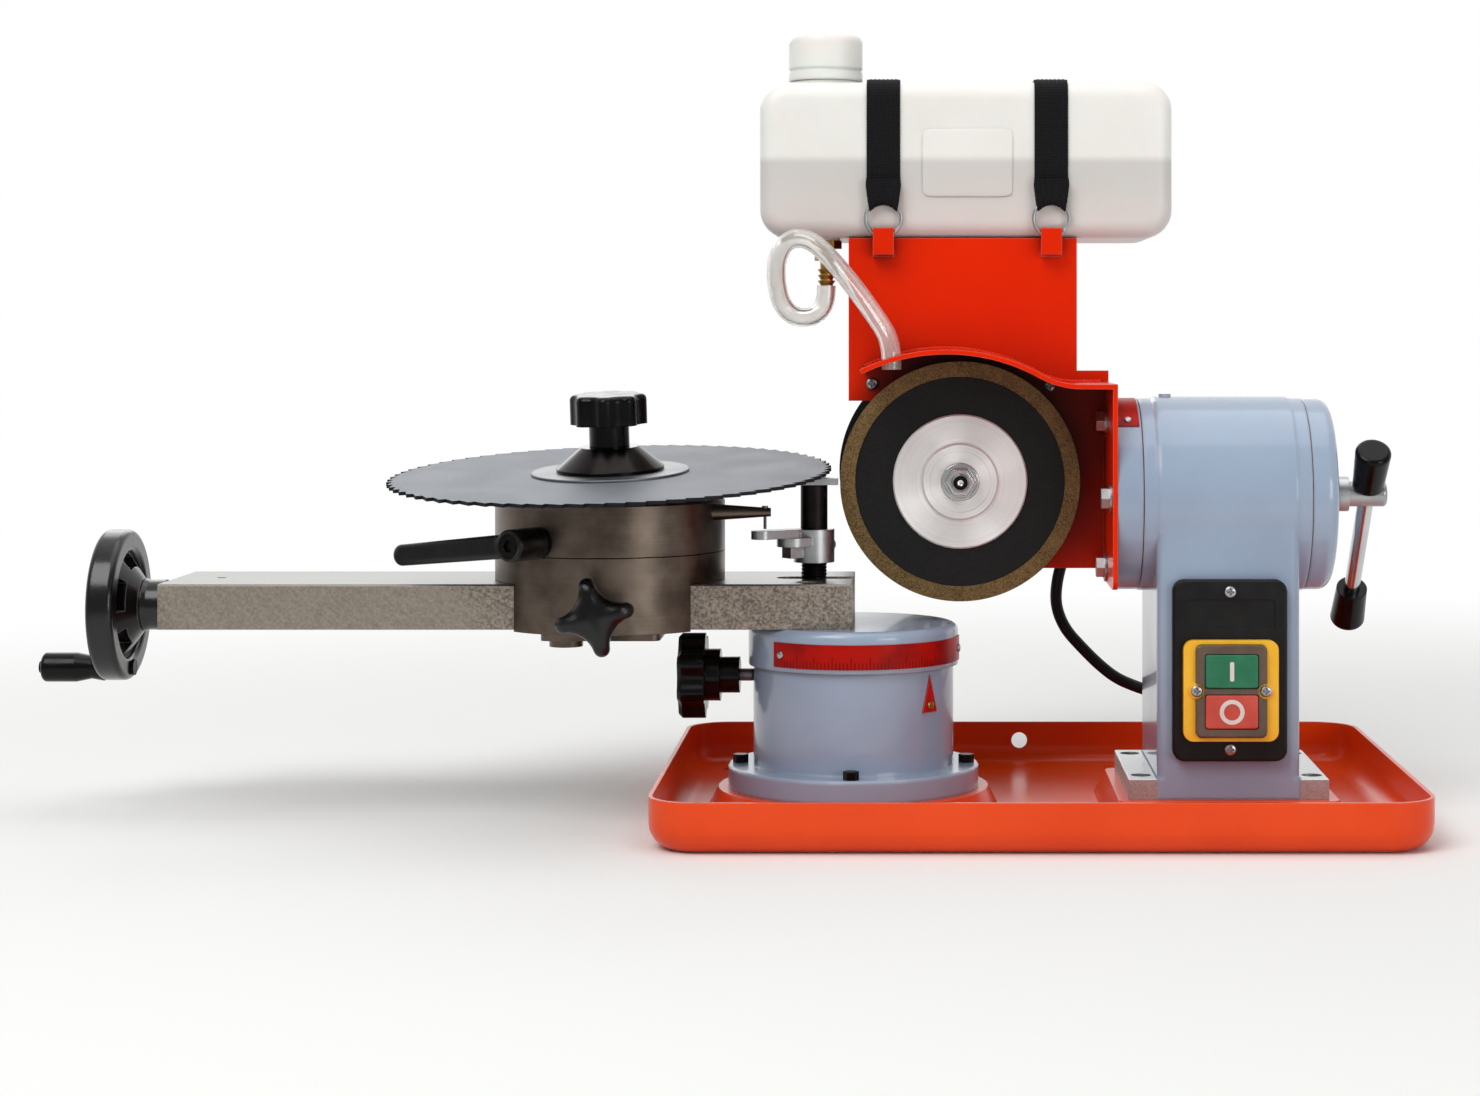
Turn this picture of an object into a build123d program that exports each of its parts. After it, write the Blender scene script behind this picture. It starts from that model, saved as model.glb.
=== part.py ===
from build123d import *

# Bench sharpener for circular saw blades: a tray carries a turntable with the blade slide on the left
# and a column with a tilting grinding head on the right. Millimetres, +X to the right, +Y to the back,
# +Z up, origin on the floor under the middle of the tray.
import os
from math import acos, atan2, cos, degrees, pi, radians, sin, sqrt

# Clearances
RUN = 0.05  # radial clearance of a shaft in its bore
SLIDE = 0.15  # clearance of a flat sliding face
PART_GAP = 0.4  # gap between faces that turn past each other
SOFT_GAP = 0.3  # gap between a soft piece and what it lies on

# Tray
TRAY_LENGTH = 380.0
TRAY_DEPTH = 280.0
TRAY_HEIGHT = 25.5
TRAY_SHEET = 2.0
TRAY_CORNER = 24.0
TRAY_BEND = 13.0
PAD_HEIGHT = 14.0
PAD_MARGIN = 5.0
PAD_SLOPE = 28.0
BENCH_SPACING_X = 330.0
BENCH_SPACING_Y = 230.0
BENCH_HOLE = 9.0
DRAIN_HOLE = 9.0
DRAIN_RISE = 15.0
DRAIN_X = -1.0

# Bolts: hexagon heads on the turntable and the hood, sunk socket heads in the column's feet
BOLT_SHANK = 5.0
BOLT_HEAD = 7.0
BOLT_HEAD_HEIGHT = 4.2
HOOD_BOLT_SHANK = 6.0
HOOD_BOLT_HEAD = 10.0
SOCKET_HEAD_R = 4.6
SOCKET_HEAD_HEIGHT = 5.0
SOCKET_SUNK = 1.0
SOCKET_KEY = 4.0
COUNTERBORE_GAP = 0.6
BOLT_HOLE_CLEARANCE = 0.6
NUT_HEIGHT = 5.0

# Working plane: bar, blade, wheel face and tilt axis share this depth
WORK_Y = -12.0

# Turntable
TURN_X = -93.0
FLANGE_R = 65.0
FLANGE_THICK = 11.5
TURN_BODY_R = 52.0
TURN_BODY_HEIGHT = 63.0
TURN_WALL = 9.0
TOP_R = 54.5
TOP_THICK = 21.0
TOP_EDGE = 4.0
SPIGOT_R = 24.0
SPIGOT_LENGTH = 34.0
TURN_BOLT_RADIUS = 58.7
SCALE_THICK = 0.6
SCALE_HEIGHT = 12.5
TURN_SCALE_FROM = -136.0
TURN_SCALE_TO = -4.0
POINTER_ANGLE = -41.0
POINTER_WIDTH = 11.0
POINTER_HEIGHT = 19.0
RIVET_R = 1.6
RIVET_HEIGHT = 0.7

# Turntable lock knob
LOCK_DROP = 6.0
LOCK_SCREW_R = 3.0
LOCK_LOBES = 7
LOCK_HEAD_R = 22.5
LOCK_HEAD_WAIST = 19.0
LOCK_LOBE_R = 6.0
LOCK_HEAD_THICK = 14.0
LOCK_HUB_R = 13.5
LOCK_HUB_LENGTH = 7.5
LOCK_NECK_R = 9.4
LOCK_NECK_LENGTH = 10.0
LOCK_STAND = 7.0

# Guide bar and lead screw
BAR_LENGTH = 352.0
BAR_WIDTH = 78.0
BAR_THICK = 23.0
BAR_CHAMFER = 0.8
GROOVE_WIDTH = 24.0
GROOVE_DEPTH = 18.0
SCREW_R = 7.0
SCREW_RISE = 9.0
SLOT_WIDTH = 14.0
SLOT_LENGTH = 40.0
SLOT_DEPTH = 12.0
BAR_BOLT_R = 4.0
BAR_BOLT_HEAD_R = 6.5
BAR_BOLT_HEAD_HEIGHT = 8.0
BAR_BOLT_SPACING = 52.0
BAR_BOLT_SETBACK = 22.0
BAR_BOLT_DEPTH = 12.0
BEARING_THICK = 5.0
BEARING_R = 10.5
OIL_HOLE_R = 2.6
OIL_HOLE_SETBACK = 23.0

# Handwheel
WHEEL_RIM_R = 39.0
RIM_WIDTH = 14.0
RIM_DEPTH = 11.5
RIM_ROUND = 3.0
WEB_THICK = 4.5
HUB_R = 13.7
HUB_NOSE_R = 13.0
HUB_LENGTH = 25.0
DISH = 10.0
WINDOWS = 5
WINDOW_SWEEP = 44.0
CRANK_RADIUS = 32.5
CRANK_PIN_R = 3.0
GRIP_LENGTH = 32.0
GRIP_R = 7.6
GRIP_NECK_R = 6.0
GRIP_ROUND = 2.5

# Saddle and seat
SEAT_X = -219.5
SEAT_R = 59.5
SADDLE_SKIRT = 1.0
SADDLE_HEIGHT = 14.5
SADDLE_SPIGOT_R = 15.0
SADDLE_SPIGOT_HEIGHT = 8.0
SEAT_HEIGHT = 27.0
SEAT_CHAMFER = 1.5
KEEPER_LENGTH = 60.0
KEEPER_THICK = 3.5
KEEPER_LIP = 12.0
NUT_LENGTH = 22.0
GIB_SCREW_R = 8.5
GIB_SCREW_HEIGHT = 3.5

# Star knob on the saddle
STAR_TIP_R = 20.0
STAR_WAIST_R = 11.5
STAR_LOBE_R = 4.0
STAR_THICK = 13.0
STAR_STAND = 9.0
STAR_BOSS_R = 8.0
STAR_TURN = 13.5
STAR_DROP = 13.3
STAR_SCREW_R = 4.0

# Clamp lever on the seat
LEVER_ANGLE = 238.5
LEVER_RISE = 6.8
LEVER_HUB_R = 8.2
LEVER_HUB_LENGTH = 22.0
LEVER_STAND = 1.2
LEVER_ARM = 72.0
LEVER_DIP = 6.0
LEVER_ARM_THICK = 9.0
LEVER_TIP_R = 5.5
LEVER_SCREW_R = 4.0

# Index arm and its hanging pin
ARM_SETBACK = 20.0
ARM_ROOT_R = 4.2
ARM_TIP_R = 2.2
ARM_REACH = 81.5
ARM_RISE = 20.5
INDEX_PIN_R = 0.8
INDEX_PIN_DROP = 8.6

# Saw blade and its clamp, on a hub whose face leans to the front and a little to the left
BLADE_Z = 175.3
BLADE_R = 115.0
BLADE_THICK = 1.8
BLADE_BORE = 25.4
BLADE_TEETH = 72
TOOTH_DEPTH = 3.4
TOOTH_FACE_SHARE = 0.1
LEAN_FRONT = 4.8
LEAN_LEFT = 1.3
HUB_FACE_R = 40.0
STUD_R = 5.0
WASHER_R = 41.0
WASHER_THICK = 1.2
CONE_R = 28.0
CONE_TOP_R = 15.0
CONE_HEIGHT = 12.5
CONE_FOOT = 1.8
NECK_R = 10.4
NECK_LENGTH = 11.8
KNOB_R = 20.0
KNOB_WAIST_R = 17.6
KNOB_LOBE_R = 5.0
KNOB_LOBES = 8
KNOB_HEIGHT = 15.5
KNOB_ROUND = 3.0

# Tooth stop
POST_X = -113.5
POST_R = 7.0
POST_TOP = 48.8
STEM_R = 6.2
STEM_HEIGHT = 8.0
FINGER_THICK = 3.6
FINGER_REACH = 12.7
FINGER_WIDTH = 8.0
FINGER_FRONT = 4.0
COLLAR_R = 10.6
COLLAR_HEIGHT = 17.2
STOP_LINK_RISE = 13.2
STOP_LINK_THICK = 4.6
STOP_LINK_LENGTH = 14.0
STOP_LINK_R = 8.0
STOP_TIP_THICK = 4.4
STOP_TIP_LENGTH = 33.0
STOP_TIP_R = 5.6
STOP_ARM_ANGLE = 218.0
PINCH_R = 2.6

# Column
COLUMN_X = 97.0
COLUMN_WIDTH = 72.0
COLUMN_DEPTH = 98.0
COLUMN_WALL = 9.0
COLUMN_EDGE = 5.0
FOOT_WIDTH = 14.5
FOOT_THICK = 10.5
FOOT_BOLT_SPACING = 74.0
TILT_Z = 165.0
HEAD_R = 50.7
HEAD_COLLAR_R = 49.8
HEAD_COLLAR = 6.4
OILER_R = 3.2
OILER_HEIGHT = 1.4
TILT_SHAFT_R = 15.0

# Switch
SWITCH_WIDTH = 57.4
SWITCH_HEIGHT = 91.0
SWITCH_THICK = 6.0
SWITCH_CORNER = 6.0
SWITCH_RISE = 55.0
FRAME_WIDTH = 47.6
FRAME_HEIGHT = 50.6
FRAME_THICK = 4.0
FRAME_DROP = 9.6
BEZEL_WIDTH = 35.6
BEZEL_HEIGHT = 46.6
BEZEL_THICK = 3.2
BEZEL_LIP = 4.3
BUTTON_HEIGHT = 17.4
BUTTON_PITCH = 20.2
BUTTON_TRAVEL = 3.0
BUTTON_PROUD = 0.8
BUTTON_SIDE = 0.35
EAR_PITCH = 34.6
EAR_R = 3.9
NAME_RECESS = (45.0, 14.0)
NAME_RECESS_DEPTH = 0.6

# Grinding head: tilt flange, hood and tank bracket
TILT_FLANGE_THICK = 13.0
TILT_FLANGE_R = 50.0
HOOD_SHEET = 2.5
TILT_SCALE_SWEEP = 86.0
TILT_SCALE_WIDTH = 11.5
HOOD_FRONT = 49.0
HOOD_LEFT = -89.0
HOOD_ARC_R = 100.0
HOOD_ARC_X = -45.0
HOOD_ARC_Z = 140.5
HOOD_TURN_X = 3.5
HOOD_TURN_R = 40.0
SIDE_BOTTOM = 119.0
BACK_PLATE_Y = 8.0
PLATE_BOTTOM = 124.7
PLATE_SHOULDER = 229.0
PLATE_STEP = 213.0
UPRIGHT_LEFT = -96.0
UPRIGHT_RIGHT = 24.5
SHELF_Z = 299.0
GUSSET_DROP = 58.0
SHELF_FLANGE = 14.0
HOOD_BOLT_CIRCLE_R = 38.0
HOOD_BOLT_COUNT = 4
WASHER_PLATE = 1.2
HOSE_HOLE_R = 5.6

# Motor
WHEEL_X = -37.5
WHEEL_Z = 171.5
SHIELD_R = 57.0
SHIELD_LENGTH = 14.0
BODY_LENGTH = 84.0
FIN_R = 62.0
FIN_ROOT_R = 57.0
FINS = 40
FAN_R = 66.0
FAN_LENGTH = 44.0
FAN_SHEET = 1.6
FAN_ROUND = 10.0
FAN_SLOTS = 14
SHAFT_R = 8.0
TERMINAL_WIDTH = 26.0
TERMINAL_DEPTH = 46.0
TERMINAL_HEIGHT = 44.0
LEAD_R = 3.2
GLAND_R = 6.5
GLAND_LENGTH = 12.0

# Grinding wheel
WHEEL_R = 62.5
RING_WIDTH = 8.0
RING_DEPTH = 7.0
CORE_THICK = 9.0
CORE_INSET = 0.8
HUB_DISC_R = 35.0
HUB_DISC_THICK = 2.2
HUB_SLEEVE_R = 17.0
HUB_FLANGE_R = 20.0
HUB_FLANGE_THICK = 2.6
NUT_WASHER_R = 10.0
NUT_WASHER_THICK = 1.8
SHAFT_NUT_R = 6.6
SHAFT_NUT_HEIGHT = 6.0
SHAFT_END_R = 4.0
SHAFT_END = 3.0

# Coolant tank, straps, fitting and hose
TANK_LEFT = -143.0
TANK_LENGTH = 218.0
TANK_DEPTH = 100.0
TANK_HEIGHT = 82.5
TANK_ROUND = 15.0
TANK_FRONT = 5.0
CAP_X = -109.5
CAP_R = 20.0
CAP_HEIGHT = 25.0
CAP_SKIRT = 4.0
CAP_WALL = 2.2
NECK_WALL_GAP = 0.5
NECK_HEIGHT = 14.0
CAP_ROUND = 4.5
CAP_GROOVE = 0.7
STRAP_X = (-77.6, 10.8)
STRAP_WIDTH = 17.7
STRAP_THICK = 1.6
RING_R = 9.4
RING_WIRE_R = 1.0
RING_RISE = 10.0
HOOK_WIDTH = 11.0
HOOK_SHEET = 1.2
LOOP_WIDTH = 8.0
FITTING_X = -108.0
FITTING_Y = 20.0
FITTING_NUT_R = 7.0
FITTING_NUT_HEIGHT = 4.5
FITTING_R = 4.2
FITTING_LENGTH = 24.0
BARBS = 3
HOSE_R = 5.0

# Tilt clamp
END_CAP_THICK = 13.5
END_CAP_R = 49.4
END_CAP_ROUND = 6.0
END_BOSS_R = 14.0
END_BOSS = 5.0
BOSS_R = 9.0
BOSS_LENGTH = 11.0
CROSS_HEAD_R = 6.5
CROSS_HEAD_LENGTH = 20.0
CLAMP_SCREW_R = 6.0
CLAMP_SCREW_LENGTH = 28.0
TOMMY_R = 4.2
TOMMY_LENGTH = 80.0
TOMMY_ANGLE = 43.0
GRIP_CAP_R = 9.4
GRIP_CAP_END_R = 8.2
GRIP_CAP_LENGTH = 25.5
GRIP_CAP_WALL = 4.0

# Places that follow from the sizes above
UP = (Align.CENTER, Align.CENTER, Align.MIN)
PAD_TOP = PAD_HEIGHT
TURN_PART_Z = PAD_TOP + TURN_BODY_HEIGHT
TOP_Z0 = TURN_PART_Z + PART_GAP
BAR_Z0 = TOP_Z0 + TOP_THICK
BAR_Z1 = BAR_Z0 + BAR_THICK
BAR_X1 = TURN_X
BAR_X0 = BAR_X1 - BAR_LENGTH
SCREW_Z = BAR_Z0 + SCREW_RISE
SADDLE_TOP = BAR_Z1 + SADDLE_HEIGHT
SEAT_Z0 = SADDLE_TOP + PART_GAP
SEAT_Z1 = SEAT_Z0 + SEAT_HEIGHT
COLUMN_X0 = COLUMN_X - COLUMN_WIDTH / 2
COLUMN_X1 = COLUMN_X + COLUMN_WIDTH / 2
COLUMN_FRONT = WORK_Y - COLUMN_DEPTH / 2
COLUMN_BACK = WORK_Y + COLUMN_DEPTH / 2
BASE_TOP = PAD_TOP + FOOT_THICK
TILT_X1 = COLUMN_X0 - HEAD_COLLAR - PART_GAP
TILT_X0 = TILT_X1 - TILT_FLANGE_THICK
SIDE_X0 = TILT_X0 - HOOD_SHEET
CAP_X0 = COLUMN_X1 + HEAD_COLLAR + PART_GAP
CAP_X1 = CAP_X0 + END_CAP_THICK
HOOD_Y0 = WORK_Y - HOOD_FRONT
PLATE_BACK_Y = BACK_PLATE_Y + HOOD_SHEET
MOTOR_Y1 = PLATE_BACK_Y + SHIELD_LENGTH
MOTOR_Y2 = MOTOR_Y1 + BODY_LENGTH
TANK_Z0 = SHELF_Z
RING_Z = SHELF_Z + RING_RISE
TANK_Z1 = TANK_Z0 + TANK_HEIGHT
TANK_BACK = TANK_FRONT + TANK_DEPTH
WHEEL_FACE_Y = WORK_Y
SWITCH_Z = BASE_TOP + SWITCH_RISE
FRAME_Z = SWITCH_Z - FRAME_DROP
PLATE_FRONT_Y = COLUMN_FRONT - SWITCH_THICK
FRAME_FRONT_Y = PLATE_FRONT_Y - FRAME_THICK
BEZEL_FRONT_Y = FRAME_FRONT_Y - BEZEL_THICK


def rod(start, end, radius):
    """A round bar from one point to another."""
    axis = Vector(*end) - Vector(*start)
    return Plane(Vector(*start), z_dir=axis) * Cylinder(radius, axis.length, align=UP)


def along_x(x0, x1, radius, y, z):
    return rod((x0, y, z), (x1, y, z), radius)


def along_y(y0, y1, radius, x, z):
    return rod((x, y0, z), (x, y1, z), radius)


def along_z(z0, z1, radius, x, y):
    return rod((x, y, z0), (x, y, z1), radius)


def block(x0, x1, y0, y1, z0, z1):
    middle = Pos((x0 + x1) / 2, (y0 + y1) / 2, (z0 + z1) / 2)
    return middle * Box(x1 - x0, y1 - y0, z1 - z0)


def slab_x(sketch, x0, x1):
    """A sketch drawn in Y and Z, made solid from x0 to x1."""
    return Plane((x0, 0, 0), x_dir=(0, 1, 0), z_dir=(1, 0, 0)) * extrude(sketch, x1 - x0)


def slab_y(sketch, y0, y1):
    """A sketch drawn in X and Z, made solid from y0 to y1."""
    return Plane((0, y1, 0), x_dir=(1, 0, 0), z_dir=(0, -1, 0)) * extrude(sketch, y1 - y0)


def polar(radius, angle):
    return (radius * cos(radians(angle)), radius * sin(radians(angle)))


def lobed(count, tip_r, waist_r, lobe_r):
    """A knob outline: round lobes of radius lobe_r, joined smoothly by hollow arcs."""
    half = pi / count
    lobe_at = tip_r - lobe_r
    across = waist_r - lobe_at * cos(half)
    chord = lobe_r**2 - lobe_at**2 - waist_r**2 + 2 * lobe_at * waist_r * cos(half)
    hollow_r = chord / (2 * (across - lobe_r))
    hollow_at = waist_r + hollow_r
    share = lobe_r / (lobe_r + hollow_r)
    meet_x = lobe_at + (hollow_at * cos(half) - lobe_at) * share
    meet_y = hollow_at * sin(half) * share
    meet_r, meet = sqrt(meet_x**2 + meet_y**2), degrees(atan2(meet_y, meet_x))
    step = 360 / count
    edges = []
    for i in range(count):
        a = i * step
        end = polar(meet_r, a + meet)
        edges.append(ThreePointArc(polar(meet_r, a - meet), polar(tip_r, a), end))
        edges.append(ThreePointArc(end, polar(waist_r, a + step / 2), polar(meet_r, a + step - meet)))
    return make_face(edges)


def hexagon(across_flats, height):
    return extrude(RegularPolygon(across_flats / 2, 6, major_radius=False), height)


def x_plane(x, y, z):
    """A plane at the given point whose Z axis is +X and whose X axis is +Y."""
    return Plane((x, y, z), x_dir=(0, 1, 0), z_dir=(1, 0, 0))


def front_plane(x, y, z):
    """A plane at the given point that faces the front: its Z axis is -Y and its X axis is +X."""
    return Plane((x, y, z), x_dir=(1, 0, 0), z_dir=(0, -1, 0))


def band(radius, thick, height, start, end):
    """A curved strip round Z, from one angle to another in degrees."""
    middle = (start + end) / 2
    inner = [polar(radius, start), polar(radius, middle), polar(radius, end)]
    outer = [polar(radius + thick, end), polar(radius + thick, middle), polar(radius + thick, start)]
    edges = [
        ThreePointArc(*inner),
        Line(inner[2], outer[0]),
        ThreePointArc(*outer),
        Line(outer[2], inner[0]),
    ]
    return extrude(make_face(edges), height)


def cord(points, radius):
    """A cord along straight runs joined by arcs as large as the runs allow; prints the radii."""
    ways = [Vector(*b) - Vector(*a) for a, b in zip(points, points[1:])]
    radii = []
    for before, after in zip(ways, ways[1:]):
        half_turn = radians(before.get_angle(after)) / 2
        radii.append(0.45 * min(before.length, after.length) / (sin(half_turn) / cos(half_turn)))
    path = FilletPolyline(*points, radius=radii)
    tube = sweep(Plane(Vector(*points[0]), z_dir=ways[0]) * Circle(radius), path=path)
    print("cord radii", [round(r, 1) for r in radii], "length", round(path.length, 1))
    print("cord volume", round(tube.volume), "of", round(pi * radius**2 * path.length))
    return tube


def bolt_places():
    """Where the castings are bolted to the tray: (x, y, top of the bolted flange)."""
    places = []
    for sx in (-1, 1):
        for sy in (-1, 1):
            x = COLUMN_X + sx * (COLUMN_WIDTH + FOOT_WIDTH) / 2
            places.append((x, WORK_Y + sy * FOOT_BOLT_SPACING / 2, BASE_TOP))
    for i in range(4):
        dx, dy = polar(TURN_BOLT_RADIUS, 90 * i)
        places.append((TURN_X + dx, WORK_Y + dy, PAD_TOP + FLANGE_THICK))
    return places


def bolt_holes():
    hole_r = (BOLT_SHANK + BOLT_HOLE_CLEARANCE) / 2
    return [along_z(0, top + 1, hole_r, x, y) for x, y, top in bolt_places()]


def tray():
    def pan(inset, floor):
        outline = RectangleRounded(TRAY_LENGTH - 2 * inset, TRAY_DEPTH - 2 * inset, TRAY_CORNER - inset)
        solid = Pos(0, 0, floor) * extrude(outline, TRAY_HEIGHT - floor)
        return fillet(solid.edges().group_by(Axis.Z)[0], TRAY_BEND - inset)

    def pads(inset):
        top = PAD_HEIGHT - inset
        round_pad = Pos(TURN_X, WORK_Y, top) * extrude(
            Circle(FLANGE_R + PAD_MARGIN - inset), -top, taper=-PAD_SLOPE
        )
        margin = 2 * (PAD_MARGIN - inset)
        length = COLUMN_WIDTH + 2 * FOOT_WIDTH
        outline = RectangleRounded(length + margin, COLUMN_DEPTH + margin, PAD_MARGIN)
        return round_pad + Pos(COLUMN_X, WORK_Y, top) * extrude(outline, -top, taper=-PAD_SLOPE)

    body = pan(0, 0) - pan(TRAY_SHEET, TRAY_SHEET) + pads(0) - pads(TRAY_SHEET)
    for sx in (-1, 1):
        for sy in (-1, 1):
            body -= along_z(
                -1, TRAY_HEIGHT, BENCH_HOLE / 2, sx * BENCH_SPACING_X / 2, sy * BENCH_SPACING_Y / 2
            )
    wall = TRAY_DEPTH / 2
    body -= along_y(wall - 2 * TRAY_SHEET, wall + 1, DRAIN_HOLE / 2, DRAIN_X, DRAIN_RISE)
    return body - bolt_holes()


def base_bolts():
    bolts = []
    under = PAD_TOP - TRAY_SHEET
    for x, y, top in bolt_places():
        if top == BASE_TOP:
            top -= SOCKET_SUNK
            head = along_z(top - SOCKET_HEAD_HEIGHT, top, SOCKET_HEAD_R, x, y)
            head -= Pos(x, y, top - SOCKET_HEAD_HEIGHT / 2) * hexagon(SOCKET_KEY, SOCKET_HEAD_HEIGHT)
            top -= SOCKET_HEAD_HEIGHT
        else:
            head = Pos(x, y, top) * hexagon(BOLT_HEAD, BOLT_HEAD_HEIGHT)
        nut = Pos(x, y, under - NUT_HEIGHT) * hexagon(BOLT_HEAD, NUT_HEIGHT)
        bolts.append(head + nut + along_z(under - NUT_HEIGHT - 1, top, BOLT_SHANK / 2, x, y))
    return Compound(bolts)


def turntable_base():
    body = along_z(PAD_TOP, PAD_TOP + FLANGE_THICK, FLANGE_R, TURN_X, WORK_Y)
    body = chamfer(body.edges().group_by(Axis.Z)[-1], 1.0)
    body += along_z(PAD_TOP, TURN_PART_Z, TURN_BODY_R, TURN_X, WORK_Y)
    bore = SPIGOT_R + RUN
    seat_z = TURN_PART_Z - SPIGOT_LENGTH - PART_GAP
    body -= along_z(seat_z, TURN_PART_Z, bore, TURN_X, WORK_Y)
    under = along_z(PAD_TOP, seat_z - TURN_WALL, TURN_BODY_R - TURN_WALL, TURN_X, WORK_Y)
    body -= under
    body -= along_x(TURN_X - TURN_BODY_R - 1, TURN_X, LOCK_SCREW_R + RUN, WORK_Y, TURN_PART_Z - LOCK_DROP)
    return body - bolt_holes()


def turntable_top():
    body = along_z(TOP_Z0, BAR_Z0, TOP_R, TURN_X, WORK_Y)
    body = fillet(body.edges().group_by(Axis.Z)[-1], TOP_EDGE)
    body += along_z(TURN_PART_Z - SPIGOT_LENGTH, TOP_Z0, SPIGOT_R, TURN_X, WORK_Y)
    for x, y in bar_bolt_places():
        body -= along_z(BAR_Z0 - BAR_BOLT_DEPTH, BAR_Z0, BAR_BOLT_R + RUN, x, y)
    return body


def scale_rivets(radius, height, angles):
    out = radius + SCALE_THICK
    heads = []
    for angle in angles:
        x, y = polar(out, angle)
        dx, dy = polar(RIVET_HEIGHT, angle)
        heads.append(rod((x * 0.997, y * 0.997, height), (x + dx, y + dy, height), RIVET_R))
    return heads


def turntable_scale():
    radius = TOP_R + RUN
    strip = band(radius, SCALE_THICK, SCALE_HEIGHT, TURN_SCALE_FROM, TURN_SCALE_TO)
    for head in scale_rivets(radius, SCALE_HEIGHT / 2, (TURN_SCALE_FROM + 5, TURN_SCALE_TO - 5)):
        strip += head
    low = TOP_Z0 + (TOP_THICK - TOP_EDGE - SCALE_HEIGHT) / 2
    return Pos(TURN_X, WORK_Y, low) * strip


def angle_pointer():
    half = POINTER_WIDTH / 2
    tri = make_face(Polyline((-half, 0), (half, 0), (0, POINTER_HEIGHT), close=True))
    x, y = polar(TURN_BODY_R, POINTER_ANGLE)
    facing = Vector(*polar(1, POINTER_ANGLE), 0)
    low = TURN_PART_Z - 2 - POINTER_HEIGHT
    place = Plane((TURN_X + x, WORK_Y + y, low), x_dir=(-facing.Y, facing.X, 0), z_dir=facing)
    blank = Pos(0, 0, -1) * extrude(tri, 1 + SCALE_THICK)
    head = Pos(0, POINTER_HEIGHT * 0.18) * Cylinder(RIVET_R, SCALE_THICK + RIVET_HEIGHT, align=UP)
    body = along_z(low - 1, TURN_PART_Z, TURN_BODY_R, TURN_X, WORK_Y)
    return place * (blank + head) - body


def lock_knob():
    z = TURN_PART_Z - LOCK_DROP
    tip = TURN_X - SPIGOT_R - PART_GAP
    x1 = TURN_X - TURN_BODY_R - LOCK_STAND
    x2 = x1 - LOCK_NECK_LENGTH
    x3 = x2 - LOCK_HUB_LENGTH
    x4 = x3 - LOCK_HEAD_THICK
    outline = lobed(LOCK_LOBES, LOCK_HEAD_R, LOCK_HEAD_WAIST, LOCK_LOBE_R)
    head = x_plane(x4, WORK_Y, z) * extrude(outline, LOCK_HEAD_THICK)
    head = chamfer(head.edges().group_by(Axis.X)[0], 2.0)
    body = head + along_x(x3, x2, LOCK_HUB_R, WORK_Y, z) + along_x(x2, x1, LOCK_NECK_R, WORK_Y, z)
    return body + along_x(x1, tip, LOCK_SCREW_R, WORK_Y, z)


def bar_bolt_places():
    x = BAR_X1 - BAR_BOLT_SETBACK
    return [(x, WORK_Y + s * BAR_BOLT_SPACING / 2) for s in (-1, 1)]


def guide_bar():
    half = BAR_WIDTH / 2
    body = block(BAR_X0, BAR_X1, WORK_Y - half, WORK_Y + half, BAR_Z0, BAR_Z1)
    body = chamfer(body.edges().filter_by(Axis.X).group_by(Axis.Z)[-1], BAR_CHAMFER)
    groove_end = TURN_X - TOP_R - PART_GAP
    wide = GROOVE_WIDTH / 2
    body -= block(BAR_X0, groove_end, WORK_Y - wide, WORK_Y + wide, BAR_Z0, BAR_Z0 + GROOVE_DEPTH)
    slot = SLOT_WIDTH / 2
    floor = BAR_Z1 - SLOT_DEPTH
    slot_x = BAR_X1 - SLOT_LENGTH + slot
    body -= block(slot_x, BAR_X1, WORK_Y - slot, WORK_Y + slot, floor, BAR_Z1)
    body -= along_z(floor, BAR_Z1, slot, slot_x, WORK_Y)
    for x, y in bar_bolt_places():
        body -= along_z(BAR_Z0, BAR_Z1, BAR_BOLT_R + RUN, x, y)
        body -= along_z(BAR_Z1 - BAR_BOLT_HEAD_HEIGHT - 2, BAR_Z1, BAR_BOLT_HEAD_R + SLIDE, x, y)
    return body - along_z(BAR_Z0 + GROOVE_DEPTH, BAR_Z1, OIL_HOLE_R, BAR_X0 + OIL_HOLE_SETBACK, WORK_Y)


def bar_bolts():
    bolts = []
    top = BAR_Z1 - 2
    for x, y in bar_bolt_places():
        shank = along_z(BAR_Z0 - BAR_BOLT_DEPTH, top, BAR_BOLT_R, x, y)
        head = along_z(top - BAR_BOLT_HEAD_HEIGHT, top, BAR_BOLT_HEAD_R, x, y)
        key = Pos(x, y, top - BAR_BOLT_HEAD_HEIGHT / 2) * hexagon(BAR_BOLT_HEAD_R, BAR_BOLT_HEAD_HEIGHT)
        bolts.append(shank + head - key)
    return Compound(bolts)


def screw_bearing():
    x0 = BAR_X0 - BEARING_THICK
    inner = GROOVE_WIDTH / 2 - SLIDE
    top = BAR_Z0 + GROOVE_DEPTH - SLIDE
    tongue = block(BAR_X0, BAR_X0 + BEARING_THICK, WORK_Y - inner, WORK_Y + inner, BAR_Z0, top)
    body = along_x(x0, BAR_X0, BEARING_R, WORK_Y, SCREW_Z) + tongue
    return body - along_x(x0 - 1, BAR_X0 + BEARING_THICK + 1, SCREW_R + RUN, WORK_Y, SCREW_Z)


def hub_end_x():
    """The handwheel hub's inner end, just clear of the screw bearing."""
    return BAR_X0 - BEARING_THICK - PART_GAP


def rim_middle_x():
    return hub_end_x() - HUB_LENGTH


def lead_screw():
    end = TURN_X - TOP_R - 2 * PART_GAP
    return along_x(rim_middle_x() - RIM_WIDTH / 2, end, SCREW_R, WORK_Y, SCREW_Z)


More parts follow.
